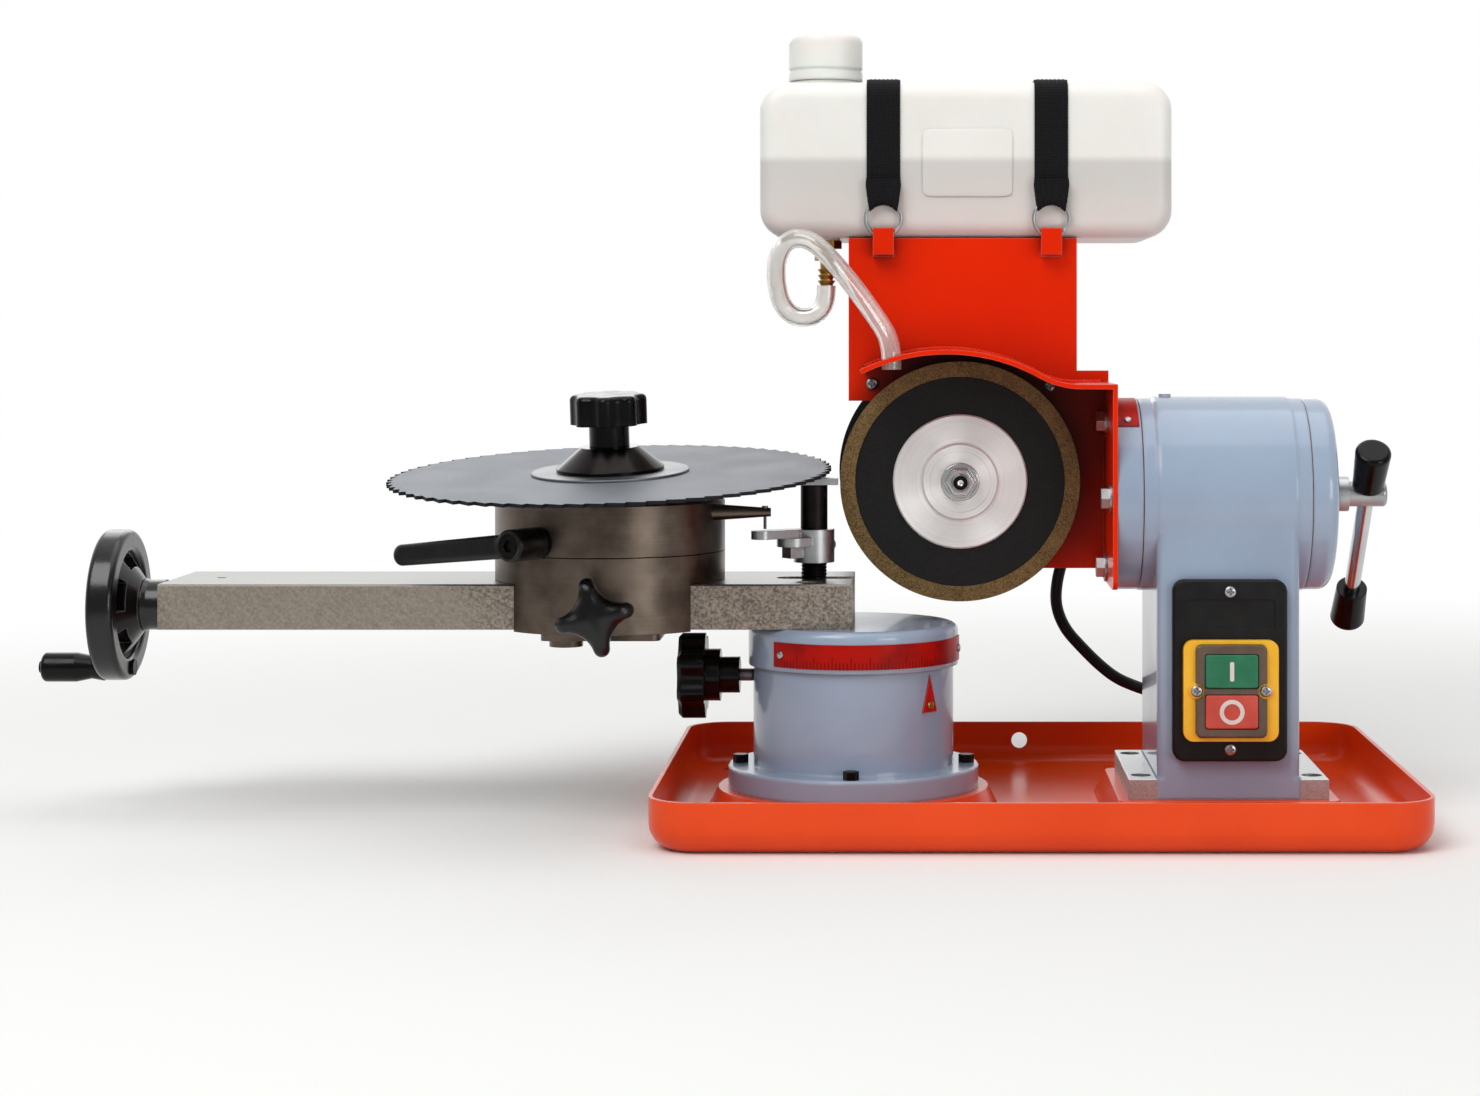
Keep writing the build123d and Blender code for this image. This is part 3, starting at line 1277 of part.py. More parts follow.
def hood_bolts():
    bolts = []
    under = SIDE_X0 - WASHER_PLATE
    for y, z in hood_bolt_places():
        washer = along_x(under, SIDE_X0, HOOD_BOLT_HEAD * 0.75, y, z)
        head = x_plane(under - BOLT_HEAD_HEIGHT, y, z) * hexagon(HOOD_BOLT_HEAD, BOLT_HEAD_HEIGHT)
        bolts.append(washer + head + along_x(under, TILT_X0 + 8, HOOD_BOLT_SHANK / 2, y, z))
    return Compound(bolts)


def motor_housing():
    shield = along_y(PLATE_BACK_Y, MOTOR_Y1, SHIELD_R, WHEEL_X, WHEEL_Z)
    shield = fillet(shield.edges().group_by(Axis.Y)[0], 4)
    step = 360 / FINS
    points = []
    for i in range(FINS):
        for radius, share in ((FIN_ROOT_R, 0.0), (FIN_R, 0.12), (FIN_R, 0.38), (FIN_ROOT_R, 0.5)):
            points.append(polar(radius, (i + share) * step))
    fins = make_face(Polyline(*points, close=True))
    body = front_plane(WHEEL_X, MOTOR_Y2, WHEEL_Z) * extrude(fins, BODY_LENGTH)
    x0 = WHEEL_X + FIN_ROOT_R - 6
    y_mid = (MOTOR_Y1 + MOTOR_Y2) / 2
    box = block(
        x0,
        x0 + TERMINAL_WIDTH,
        y_mid - TERMINAL_DEPTH / 2,
        y_mid + TERMINAL_DEPTH / 2,
        WHEEL_Z - TERMINAL_HEIGHT / 2,
        WHEEL_Z + TERMINAL_HEIGHT / 2,
    )
    box = fillet(box.edges().filter_by(Axis.X), 4)
    lead = terminal_exit()
    gland = along_z(lead[2], WHEEL_Z, GLAND_R, lead[0], lead[1])
    bore = along_y(PLATE_BACK_Y - 1, MOTOR_Y2 + 1, SHAFT_R + RUN, WHEEL_X, WHEEL_Z)
    return shield + body + box + gland - bore


def terminal_exit():
    """The lower face of the motor's own gland, where the lead leaves it."""
    y = (MOTOR_Y1 + MOTOR_Y2) / 2
    return (WHEEL_X + FIN_ROOT_R - 6 + TERMINAL_WIDTH * 0.28, y, WHEEL_Z - TERMINAL_HEIGHT / 2 - 9)


def motor_fan_cover():
    """A pressed cup over the fan, with a ring of air slots in its end."""
    y0 = MOTOR_Y2 + PART_GAP / 2
    cup = along_y(y0, y0 + FAN_LENGTH, FAN_R, WHEEL_X, WHEEL_Z)
    cup = fillet(cup.edges().group_by(Axis.Y)[-1], FAN_ROUND)
    inside = along_y(y0, y0 + FAN_LENGTH - FAN_SHEET, FAN_R - FAN_SHEET, WHEEL_X, WHEEL_Z)
    inside = fillet(inside.edges().group_by(Axis.Y)[-1], FAN_ROUND - FAN_SHEET)
    body = cup - inside
    plate = along_y(y0, y0 + FAN_SHEET, FAN_R, WHEEL_X, WHEEL_Z)
    body += plate - along_y(y0 - 1, y0 + 3, SHAFT_R + 4, WHEEL_X, WHEEL_Z)
    slot = band(FAN_R * 0.3, FAN_R * 0.4, 4 * FAN_SHEET, -4.5, 4.5)
    place = front_plane(WHEEL_X, y0 + FAN_LENGTH + FAN_SHEET, WHEEL_Z)
    for i in range(FAN_SLOTS):
        body -= place * Rot(0, 0, i * 360 / FAN_SLOTS) * slot
    return body


def hub_front_y():
    return WHEEL_FACE_Y + CORE_INSET - HUB_DISC_THICK


def nut_front_y():
    return hub_front_y() - HUB_FLANGE_THICK - NUT_WASHER_THICK - SHAFT_NUT_HEIGHT


def motor_shaft():
    core_back = WHEEL_FACE_Y + CORE_INSET + CORE_THICK
    thick = along_y(core_back, MOTOR_Y2 + FAN_LENGTH * 0.6, SHAFT_R, WHEEL_X, WHEEL_Z)
    fan_y = MOTOR_Y2 + FAN_LENGTH * 0.45
    fan = along_y(fan_y, fan_y + 3, FAN_R * 0.5, WHEEL_X, WHEEL_Z)
    return thick + fan + along_y(nut_front_y() - SHAFT_END, core_back, SHAFT_END_R, WHEEL_X, WHEEL_Z)


def wheel_core():
    y0 = WHEEL_FACE_Y + CORE_INSET
    disc = along_y(y0, y0 + CORE_THICK, WHEEL_R - RING_WIDTH, WHEEL_X, WHEEL_Z)
    disc = chamfer(disc.edges().group_by(Axis.Y)[-1], 3)
    return disc - along_y(y0 - 1, y0 + CORE_THICK + 1, HUB_SLEEVE_R + RUN, WHEEL_X, WHEEL_Z)


def wheel_rim():
    y1 = WHEEL_FACE_Y + RING_DEPTH
    ring = along_y(WHEEL_FACE_Y, y1, WHEEL_R, WHEEL_X, WHEEL_Z)
    return ring - along_y(WHEEL_FACE_Y - 1, y1 + 1, WHEEL_R - RING_WIDTH + RUN, WHEEL_X, WHEEL_Z)


def wheel_hub():
    y0 = hub_front_y()
    face = WHEEL_FACE_Y + CORE_INSET
    disc = along_y(y0, face, HUB_DISC_R, WHEEL_X, WHEEL_Z)
    disc = chamfer(disc.edges().group_by(Axis.Y)[0], 0.8)
    sleeve = along_y(face, face + CORE_THICK, HUB_SLEEVE_R, WHEEL_X, WHEEL_Z)
    flange = along_y(y0 - HUB_FLANGE_THICK, y0, HUB_FLANGE_R, WHEEL_X, WHEEL_Z)
    flange = chamfer(flange.edges().group_by(Axis.Y)[0], 1.0)
    face_y = y0 - HUB_FLANGE_THICK
    dish = along_y(face_y - 1, face_y + 0.8, HUB_FLANGE_R - 4, WHEEL_X, WHEEL_Z)
    dish -= along_y(y0 - 2 * HUB_FLANGE_THICK, y0, NUT_WASHER_R + 0.6, WHEEL_X, WHEEL_Z)
    bore = along_y(y0 - 2 * HUB_FLANGE_THICK, face + CORE_THICK + 1, SHAFT_END_R + RUN, WHEEL_X, WHEEL_Z)
    return disc + sleeve + flange - dish - bore


def wheel_nut():
    y = hub_front_y() - HUB_FLANGE_THICK
    washer = along_y(y - NUT_WASHER_THICK, y, NUT_WASHER_R, WHEEL_X, WHEEL_Z)
    nut = front_plane(WHEEL_X, y - NUT_WASHER_THICK, WHEEL_Z) * hexagon(2 * SHAFT_NUT_R, SHAFT_NUT_HEIGHT)
    bore = along_y(nut_front_y() - 1, y + 1, SHAFT_END_R + RUN, WHEEL_X, WHEEL_Z)
    return washer + nut - bore


def cap_y():
    return (TANK_FRONT + TANK_BACK) / 2


def coolant_tank():
    """A blow-moulded can that lies flat, with its neck at one corner and a raised panel in front."""
    right = TANK_LEFT + TANK_LENGTH
    body = block(TANK_LEFT, right, TANK_FRONT, TANK_BACK, TANK_Z0, TANK_Z1)
    body = fillet(body.edges().filter_by(Axis.Y), TANK_ROUND)
    rims = body.edges().group_by(Axis.Y)
    body = fillet(rims[0] + rims[-1], TANK_ROUND * 0.6)
    neck_r = CAP_R - CAP_WALL - NECK_WALL_GAP
    body += along_z(TANK_Z1 - 2, TANK_Z1 + NECK_HEIGHT, neck_r, CAP_X, cap_y())
    shoulder = along_z(TANK_Z1 - 2, TANK_Z1 + CAP_SKIRT - SOFT_GAP, CAP_R - 1, CAP_X, cap_y())
    panel_x = TANK_LEFT + TANK_LENGTH * 0.505
    panel_z = TANK_Z0 + TANK_HEIGHT * 0.49
    panel = rounded_plate(43, 32, 3, panel_x, panel_z, TANK_FRONT - 0.8, TANK_FRONT + 1)
    inner = rounded_plate(38, 27, 2, panel_x, panel_z, TANK_FRONT - 0.8, TANK_FRONT)
    outlet = along_z(TANK_Z0 - 1, TANK_Z0 + 2, FITTING_NUT_R, FITTING_X, FITTING_Y)
    return body + shoulder + (panel - inner) + outlet


def tank_cap():
    low = TANK_Z1 + CAP_SKIRT
    top = low + CAP_HEIGHT
    skirt_z = low + CAP_HEIGHT * 0.22
    body = along_z(low, top, CAP_R, CAP_X, cap_y())
    body = fillet(body.edges().group_by(Axis.Z)[-1], CAP_ROUND)
    groove = Torus(CAP_R + CAP_GROOVE / 2, 1.5 * CAP_GROOVE)
    body -= Pos(CAP_X, cap_y(), skirt_z) * groove
    inside = along_z(low - 1, TANK_Z1 + NECK_HEIGHT + SOFT_GAP, CAP_R - CAP_WALL, CAP_X, cap_y())
    return body - inside


def strap(x):
    """An elastic band: up the tank's front, over it and down the back to the shelf's flange."""
    def around(inset):
        low = SHELF_Z - SHELF_FLANGE + 1
        y0, y1 = TANK_FRONT - inset, TANK_BACK + inset
        top = TANK_Z1 + inset
        radius = TANK_ROUND * 0.6 + inset
        face = make_face(Polyline((y0, low), (y0, top), (y1, top), (y1, low), close=True))
        return fillet(face.vertices().group_by(Axis.Y)[-1], radius)

    wire_z = RING_Z + sqrt((RING_R - RING_WIRE_R) ** 2 - (LOOP_WIDTH / 2) ** 2)
    fold_z = wire_z - SLIDE - STRAP_THICK
    y_in = TANK_FRONT - SOFT_GAP - STRAP_THICK
    y_out = ring_plane_y() - RING_WIRE_R - SLIDE - STRAP_THICK
    face = around(SOFT_GAP + STRAP_THICK) - around(SOFT_GAP)
    fold = Pos(TANK_FRONT - STRAP_THICK, fold_z)
    face -= fold * Rectangle(6 * STRAP_THICK, 6, align=(Align.CENTER, Align.MIN))
    face -= fold * Rectangle(6 * STRAP_THICK, 80, align=(Align.CENTER, Align.MAX))
    low_left = (Align.MIN, Align.MIN)
    loop = Pos(y_out, fold_z) * Rectangle(y_in + STRAP_THICK - y_out, STRAP_THICK, align=low_left)
    loop += Pos(y_out, fold_z) * Rectangle(STRAP_THICK, 11, align=low_left)
    loop += Pos(y_in, fold_z) * Rectangle(STRAP_THICK, 8, align=low_left)
    belt = slab_x(face, x - STRAP_WIDTH / 2, x + STRAP_WIDTH / 2)
    return belt + slab_x(loop, x - LOOP_WIDTH / 2, x + LOOP_WIDTH / 2)


def tank_straps():
    return Compound([strap(x) for x in STRAP_X])


def strap_rings():
    place = [front_plane(x, ring_plane_y(), RING_Z) for x in STRAP_X]
    return Compound([p * Torus(RING_R, RING_WIRE_R) for p in place])


def fitting_low():
    return TANK_Z0 - 1 - FITTING_LENGTH


def outlet_fitting():
    top = TANK_Z0 - 1
    nut = hexagon(2 * FITTING_NUT_R, FITTING_NUT_HEIGHT)
    nut = Pos(FITTING_X, FITTING_Y, top - FITTING_NUT_HEIGHT) * nut
    body = nut + along_z(fitting_low(), top - FITTING_NUT_HEIGHT, FITTING_R * 0.8, FITTING_X, FITTING_Y)
    collar_z = top - FITTING_LENGTH * 0.45
    body += Pos(FITTING_X, FITTING_Y, collar_z) * hexagon(2.6 * FITTING_R, 4)
    for i in range(BARBS):
        z = fitting_low() + 0.5 + i * 3.0
        body += Pos(FITTING_X, FITTING_Y, z) * Cone(FITTING_R * 0.8, FITTING_R * 1.15, 2.2, align=UP)
    return body


def coolant_hose():
    hole_x, hole_y = hose_hole()
    low = fitting_low()
    points = [
        (FITTING_X, FITTING_Y, low),
        (FITTING_X, FITTING_Y, low - 10),
        (FITTING_X - 7, FITTING_Y - 1.5, low - 17),
        (FITTING_X - 17, FITTING_Y - 3.5, low - 17),
        (FITTING_X - 24, FITTING_Y - 5, low - 10),
        (-134.5, 9, 277),
        (-133.5, 0, 289),
        (-127, -7, 298.5),
        (-115, -11, 298),
        (-102, -15, 284.5),
        (-90, -20.5, 269.5),
        (-80, -27.5, 255.5),
        (hole_x, hole_y, 244),
        (hole_x, hole_y, 230),
    ]
    return cord(points, HOSE_R)


def motor_lead():
    top = terminal_exit()
    gland = gland_place()
    x, y, z = gland
    points = [
        top,
        (top[0], top[1], top[2] - 14),
        (17, 68, 113),
        (16.3, 70, 99),
        (21.5, 72, 86),
        (31, 73.4, 75.5),
        (40.5, 73.6, 66),
        (50, 73.6, 58.5),
        (x - 14.6, y + 25.6, z + 3.5),
        (x - 5.35, y + 20.3, z + 1),
        (x, y + 11, z),
        gland,
    ]
    return cord(points, LEAD_R)


def end_cap():
    body = along_x(CAP_X0, CAP_X1, END_CAP_R, WORK_Y, TILT_Z)
    body = fillet(body.edges().group_by(Axis.X)[-1], END_CAP_ROUND)
    body += along_x(CAP_X1 - 1, CAP_X1 + END_BOSS, END_BOSS_R, WORK_Y, TILT_Z)
    body = chamfer(body.edges().group_by(Axis.X)[-1], 1.0)
    return body - along_x(CAP_X0 - 1, CAP_X1 + END_BOSS + 1, CLAMP_SCREW_R + RUN, WORK_Y, TILT_Z)


def cross_x():
    """Middle of the cross head, where the tommy bar goes through."""
    return CAP_X1 + BOSS_LENGTH + CROSS_HEAD_LENGTH / 2


def tommy_way():
    """Unit direction of the tommy bar, towards its upper front end."""
    return Vector(0, -sin(radians(TOMMY_ANGLE)), cos(radians(TOMMY_ANGLE)))


def clamp_screw():
    shoulder_x = CAP_X1 + END_BOSS + PART_GAP
    screw = along_x(CAP_X0 - CLAMP_SCREW_LENGTH + 1, shoulder_x, CLAMP_SCREW_R, WORK_Y, TILT_Z)
    boss = along_x(shoulder_x, CAP_X1 + BOSS_LENGTH, BOSS_R, WORK_Y, TILT_Z)
    head_x = CAP_X1 + BOSS_LENGTH
    head = along_x(head_x, head_x + CROSS_HEAD_LENGTH, CROSS_HEAD_R, WORK_Y, TILT_Z)
    head = fillet(head.edges().group_by(Axis.X)[-1], 2)
    middle = Vector(cross_x(), WORK_Y, TILT_Z)
    way = tommy_way()
    start, end = middle - way * 20, middle + way * 20
    return boss + screw + head - rod(tuple(start), tuple(end), TOMMY_R + RUN)


def tommy_ends():
    """The rod's two ends between the grips: the upper grip rests on the cross head."""
    middle = Vector(cross_x(), WORK_Y, TILT_Z)
    upper = middle + tommy_way() * (CROSS_HEAD_R + SOFT_GAP)
    return upper, upper - tommy_way() * TOMMY_LENGTH


def tommy_bar():
    upper, lower = tommy_ends()
    inside = tommy_way() * (GRIP_CAP_LENGTH - GRIP_CAP_WALL)
    return rod(tuple(upper + inside), tuple(lower - inside), TOMMY_R)


def tommy_grips():
    upper, lower = tommy_ends()
    grips = []
    for start, way in ((upper, tommy_way()), (lower, tommy_way() * -1)):
        grip = Cone(GRIP_CAP_END_R, GRIP_CAP_R, GRIP_CAP_LENGTH, align=UP)
        grip = fillet(grip.edges().group_by(Axis.Z)[-1], 2.5)
        hole = Cylinder(TOMMY_R, GRIP_CAP_LENGTH - GRIP_CAP_WALL, align=UP)
        grips.append(Plane(start, z_dir=way) * (grip - hole))
    return Compound(grips)


NODES = {
    "base_tray": tray,
    "base_bolts": base_bolts,
    "turntable_base": turntable_base,
    "angle_pointer": angle_pointer,
    "column": column,
    "column_feet": column_feet,
    "switch_plate": switch_plate,
    "switch_frame": switch_frame,
    "switch_bezel": switch_bezel,
    "lead_gland": lead_gland,
    "turntable_top": turntable_top,
    "turntable_scale": turntable_scale,
    "guide_bar": guide_bar,
    "bar_bolts": bar_bolts,
    "screw_bearing": screw_bearing,
    "stop_post": stop_post,
    "stop_finger": stop_finger,
    "lock_knob": lock_knob,
    "handwheel": handwheel,
    "lead_screw": lead_screw,
    "crank_pin": crank_pin,
    "crank_grip": crank_grip,
    "saddle": saddle,
    "saddle_keeper": saddle_keeper,
    "lead_nut": lead_nut,
    "star_knob": star_knob,
    "seat": seat,
    "blade_hub": blade_hub,
    "index_arm": index_arm,
    "clamp_lever": clamp_lever,
    "lever_screw": lever_screw,
    "saw_blade": saw_blade,
    "clamp_washer": clamp_washer,
    "clamp_cone": clamp_cone,
    "clamp_knob": clamp_knob,
    "stop_collar": stop_collar,
    "tilt_flange": tilt_flange,
    "tilt_scale": tilt_scale,
    "hood": hood,
    "hood_bolts": hood_bolts,
    "motor_housing": motor_housing,
    "motor_fan_cover": motor_fan_cover,
    "motor_shaft": motor_shaft,
    "wheel_core": wheel_core,
    "wheel_rim": wheel_rim,
    "wheel_hub": wheel_hub,
    "wheel_nut": wheel_nut,
    "coolant_tank": coolant_tank,
    "tank_cap": tank_cap,
    "tank_straps": tank_straps,
    "strap_rings": strap_rings,
    "outlet_fitting": outlet_fitting,
    "coolant_hose": coolant_hose,
    "motor_lead": motor_lead,
    "end_cap": end_cap,
    "clamp_screw": clamp_screw,
    "tommy_bar": tommy_bar,
    "tommy_grips": tommy_grips,
    "start_button": lambda: button(1),
    "stop_button": lambda: button(-1),
}

os.makedirs("parts", exist_ok=True)
for name, make in NODES.items():
    export_step(make(), f"parts/{name}.step")
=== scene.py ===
# %% [markdown]
# # A bench sharpener for circular saw blades
# The machine is a red tray with a turntable and a blade slide on its left and a column with a
# tilting grinding head on its right. Its rigid pieces come as solids at their real size. This
# lesson adds what solids leave out: finishes, the hose and the lead, the tank's elastic bands and
# the small screws and marks. Everything is in metres, +X to the right, +Y to the back, +Z up.

# %% Load the solids
from collections import namedtuple
from functools import partial

import bmesh
import bpy
import numpy as np
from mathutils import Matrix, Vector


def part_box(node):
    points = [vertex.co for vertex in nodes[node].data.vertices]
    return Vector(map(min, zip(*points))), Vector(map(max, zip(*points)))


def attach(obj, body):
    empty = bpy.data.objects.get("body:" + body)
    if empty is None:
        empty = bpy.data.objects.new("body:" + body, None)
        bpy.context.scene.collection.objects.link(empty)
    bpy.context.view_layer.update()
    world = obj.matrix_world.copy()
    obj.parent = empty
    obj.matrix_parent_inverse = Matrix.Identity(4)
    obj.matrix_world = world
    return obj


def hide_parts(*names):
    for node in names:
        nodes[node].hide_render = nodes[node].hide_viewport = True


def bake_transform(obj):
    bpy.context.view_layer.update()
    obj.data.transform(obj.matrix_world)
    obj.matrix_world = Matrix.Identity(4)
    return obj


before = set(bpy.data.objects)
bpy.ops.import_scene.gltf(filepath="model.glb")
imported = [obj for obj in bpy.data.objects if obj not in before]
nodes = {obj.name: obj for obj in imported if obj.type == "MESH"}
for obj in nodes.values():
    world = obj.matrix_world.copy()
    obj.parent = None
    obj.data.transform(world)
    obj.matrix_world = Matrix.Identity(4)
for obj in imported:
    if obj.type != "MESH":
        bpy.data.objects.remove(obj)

MM = 0.001
Point = namedtuple("Point", "x y z")
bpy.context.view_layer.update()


def box_mm(name):
    """The low and the high corner of a solid's box, in millimetres."""
    return [Point(*(value / MM for value in corner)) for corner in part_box(name)]


def middle_mm(name):
    """The middle of a solid's box, in millimetres."""
    return tuple((low + high) / 2 for low, high in zip(*box_mm(name)))


def placed(name, data):
    """A new object in the scene."""
    made = bpy.data.objects.new(name, data)
    bpy.context.scene.collection.objects.link(made)
    return made


# %% [markdown]
# ## The camera
# The machine was seen from the front, a little above the grinding wheel, from one and a half
# metres. The lens looks straight ahead, so that upright edges stay upright, and the picture is
# framed by shifting the lens, as an architect's camera does. The shift is the distance, in
# picture widths, from the middle of the picture to the point straight ahead.

# %% Camera
PICTURE = (1480, 1096)
STRAIGHT_AHEAD = (913, 333)
FOCAL_PIXELS = 2800
EYE = (-0.062, -1.470, 0.2488)

camera = placed("camera", bpy.data.cameras.new("camera"))
camera.location = EYE
camera.rotation_euler = (np.pi / 2, 0, 0)
camera.data.sensor_width = 36.0
camera.data.lens = FOCAL_PIXELS / PICTURE[0] * camera.data.sensor_width
camera.data.shift_x = (PICTURE[0] / 2 - STRAIGHT_AHEAD[0]) / PICTURE[0]
camera.data.shift_y = (STRAIGHT_AHEAD[1] - PICTURE[1] / 2) / PICTURE[0]
bpy.context.scene.camera = camera
print("lens:", round(camera.data.lens, 1), "mm")

# %% [markdown]
# ## A grid becomes a mesh
# Every new piece here is a grid of points: rows follow one parameter, columns the other. Where a
# shape closes on itself, the last row or column joins the first. A point that a whole row shares,
# such as the middle of a screw head, is merged, and then all faces are turned outwards.

# %% From grid to mesh
MERGE_WITHIN = 1e-6
SHARP_DEG = 40


def piece(name, grid, body, material, slot, wrap_rows=False, wrap_columns=True, caps=False, uv=None):
    """A mesh object from grid[row, column] = (x, y, z): one four-sided face for each grid cell."""
    count, width = grid.shape[:2]
    row = np.arange(count if wrap_rows else count - 1)[:, None]
    column = np.arange(width if wrap_columns else width - 1)[None, :]
    next_row, next_column = (row + 1) % count, (column + 1) % width
    corners = (row * width + column, row * width + next_column)
    corners += (next_row * width + next_column, next_row * width + column)
    faces = np.stack(np.broadcast_arrays(*corners), -1).reshape(-1, 4)
    ends = []
    if caps:
        ends = [list(range(width)), list(range((count - 1) * width, count * width))]
    mesh = bpy.data.meshes.new(name)
    mesh.from_pydata(grid.reshape(-1, 3).tolist(), [], faces.tolist() + ends)
    if uv is not None:
        at = np.concatenate([faces.reshape(-1)] + [np.array(e, int) for e in ends])
        mesh.uv_layers.new(name="along").data.foreach_set("uv", uv.reshape(-1, 2)[at].reshape(-1))
    work = bmesh.new()
    work.from_mesh(mesh)
    bmesh.ops.remove_doubles(work, verts=work.verts, dist=MERGE_WITHIN)
    bmesh.ops.recalc_face_normals(work, faces=work.faces)
    work.to_mesh(mesh)
    work.free()
    mesh.polygons.foreach_set("use_smooth", np.ones(len(mesh.polygons), bool))
    mesh.set_sharp_from_angle(angle=np.radians(SHARP_DEG))
    obj = placed(name, mesh)
    mesh.materials.append(material)
    if body:
        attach(obj, body)
    print(name, "faces:", len(mesh.polygons))
    return obj


# %% [markdown]
# ## Colours and nodes
# Colours are written as the eye reads them on a screen, in hex, and turned to the linear values
# that light adds up in. One small function adds a node, sets its properties and feeds its sockets,
# and one starts a finish. Sockets go by name, in order or by number: a Map Range takes its value,
# the range it comes from and the range it goes to. Most values of a noise lie between 0.3 and 0.7.
# Each finish rounds its sharp edges a little, as real edges are, with a Bevel node, so that they
# catch the light.

# %% Helpers for finishes
SMOOTH = {"interpolation_type": "SMOOTHSTEP"}
NOISE_SPAN = (0.3, 0.7)


def linear(code):
    """sRGB hex to linear red, green, blue, alpha: the standard curve, a line below 0.04045."""
    value = np.array([int(code[i : i + 2], 16) for i in (1, 3, 5)]) / 255
    value = np.where(value <= 0.04045, value / 12.92, ((value + 0.055) / 1.055) ** 2.4)
    return (*value.tolist(), 1.0)


def feed(made, numbered=(), **named):
    """Sets a node's sockets, in order, by number or by name: to a value, a socket or a node.

    A node stands for its first output in use.
    """
    if isinstance(numbered, tuple):
        numbered = dict(enumerate(numbered))
    for key, value in {**numbered, **named}.items():
        socket = made.inputs[key if isinstance(key, int) else key.replace("_", " ")]
        if isinstance(value, bpy.types.Node):
            value = next(output for output in value.outputs if output.enabled)
        if isinstance(value, bpy.types.NodeSocket):
            made.id_data.links.new(value, socket)
        else:
            socket.default_value = value


def node(tree, kind, numbered=(), **named):
    """Adds one node: names with a capital are its sockets, the others its properties.

    The kind of a Math node has its operation after it.
    """
    kind, *operation = kind.split()
    made = tree.nodes.new("ShaderNode" + kind)
    if operation:
        made.operation = operation[0]
    for key in [key for key in named if key.islower()]:
        setattr(made, key, named.pop(key))
    feed(made, numbered, **named)
    return made


def finish(name, edge_mm=0.5, **sockets):
    """A new material, what adds its nodes, its shader, its place on the object, its rounded normal."""
    material = bpy.data.materials.new(name)
    material.use_nodes = True
    add = partial(node, material.node_tree)
    shader = material.node_tree.nodes["Principled BSDF"]
    feed(shader, **sockets)
    place = add("TexCoord").outputs["Object"]
    rounded = add("Bevel", Radius=edge_mm * MM, samples=4).outputs["Normal"]
    return material, add, shader, place, rounded


def noise(add, at, size, detail):
    """A noise with lumps about size across, in the units of at."""
    return add("TexNoise", Vector=at, Scale=1 / size, Detail=detail)


def two_tone(add, share, *colours):
    """The first colour, and the second by its share: sockets 6, 7 and 0 of a Mix of colours."""
    first, second = (linear(colour) if isinstance(colour, str) else colour for colour in colours)
    return add("Mix", {0: share, 6: first, 7: second}, data_type="RGBA")


def graded(add, pattern, span, first, second, most=1.0):
    """From the first colour to the second, or the share most of it, as the pattern crosses the span."""
    share = add("MapRange", (pattern, *span, 0.0, most), **SMOOTH)
    return two_tone(add, share, first, second)


# %% [markdown]
# ## Gloss enamel
# The tray, the hood and the castings are sprayed with gloss enamel. It has one colour that drifts
# a little, a hard wet shine, and the fine ripple of sprayed paint that painters call orange peel.
# A noise of about 2 mm bends the shine, and a slow one of 70 mm moves the colour. Paint is thin on
# sharp edges, where the bevelled normal leaves the flat one. Corners and recesses are darkened with
# painted shade, which the Ambient Occlusion node finds: most of all inside the hood, under its top.

# %% Enamel
THIN_PAINT = "#D9C2B4"
# A dark brown for the painted shade in corners and recesses.
PAINTED_SHADE = "#1C0F0A"


def enamel(
    name, colour, shade, roughness, peel_um, casting_um=0.0, shine=0.22, coat=0.06, corner_shade=0.25,
    edge_mm=0.8,
):
    """Gloss paint: colour drifts to shade, peel_um of ripple, casting_um of lumps, painted corner shade.
    """
    material, add, shader, place, rounded = finish(
        name, edge_mm, IOR=1.5, Specular_IOR_Level=shine, Coat_Weight=coat, Coat_Roughness=0.05
    )
    drift = noise(add, place, 0.07, 4.0)
    tone = graded(add, drift, (0.3, 0.72), colour, shade)
    flat = add("NewGeometry").outputs["Normal"]
    turned = add("VectorMath DOT_PRODUCT", (rounded, flat))
    worn = graded(add, turned, (0.97, 0.8), tone, THIN_PAINT, 0.3)
    # Painted shade: where the Ambient Occlusion node finds a corner or recess, the colour darkens to a
    # dark brown.
    corner = add("AmbientOcclusion", Distance=0.06, samples=6).outputs["AO"]
    corner_shaded = graded(add, corner, (0.72, 0.12), worn, PAINTED_SHADE, corner_shade)
    dull = add("MapRange", (drift, *NOISE_SPAN, roughness, roughness + 0.06), **SMOOTH)
    peel = noise(add, place, 0.0022, 2.0)
    lumps = noise(add, place, 0.014, 3.0)
    last = rounded
    for pattern, depth_um in ((peel, peel_um), (lumps, casting_um)):
        if depth_um:
            last = add("Bump", Height=pattern, Distance=depth_um * 1e-6, Normal=last)
    feed(shader, Base_Color=corner_shaded, Roughness=dull, Normal=last)
    return material


red_tray = enamel("orange_red_enamel_on_pressed_steel", "#EA4A12", "#E2420C", 0.2, 40, corner_shade=0.1)
# The hood's inside takes the strongest painted shade, which stands in for the shadow under its top.
red_hood = enamel(
    "orange_red_enamel_on_welded_sheet", "#E62900", "#DD2500", 0.2, 32, shine=0.1, coat=0.03, corner_shade=0.92
)
blue_casting = enamel(
    "blue_grey_enamel_on_cast_iron", "#99AABF", "#909FB6", 0.2, 45, 120, 0.45, 0.45, edge_mm=2.5
)
black_casting = enamel("black_enamel_on_cast_iron", "#080809", "#050506", 0.2, 50, 110, 0.45, 0.1)
print("enamels: 4")

# %% [markdown]
# ## Blackened and bright steel
# The saddle and the seat are turned from the bar and blackened: brown-black, satin, with fine
# level lines from the lathe. The guide bar is hot rolled: its sides keep a mottled grey skin, and
# only its top is ground bright. Lines come from a noise that is squeezed hard along one axis, and
# the top is told from the sides by the normal's height.

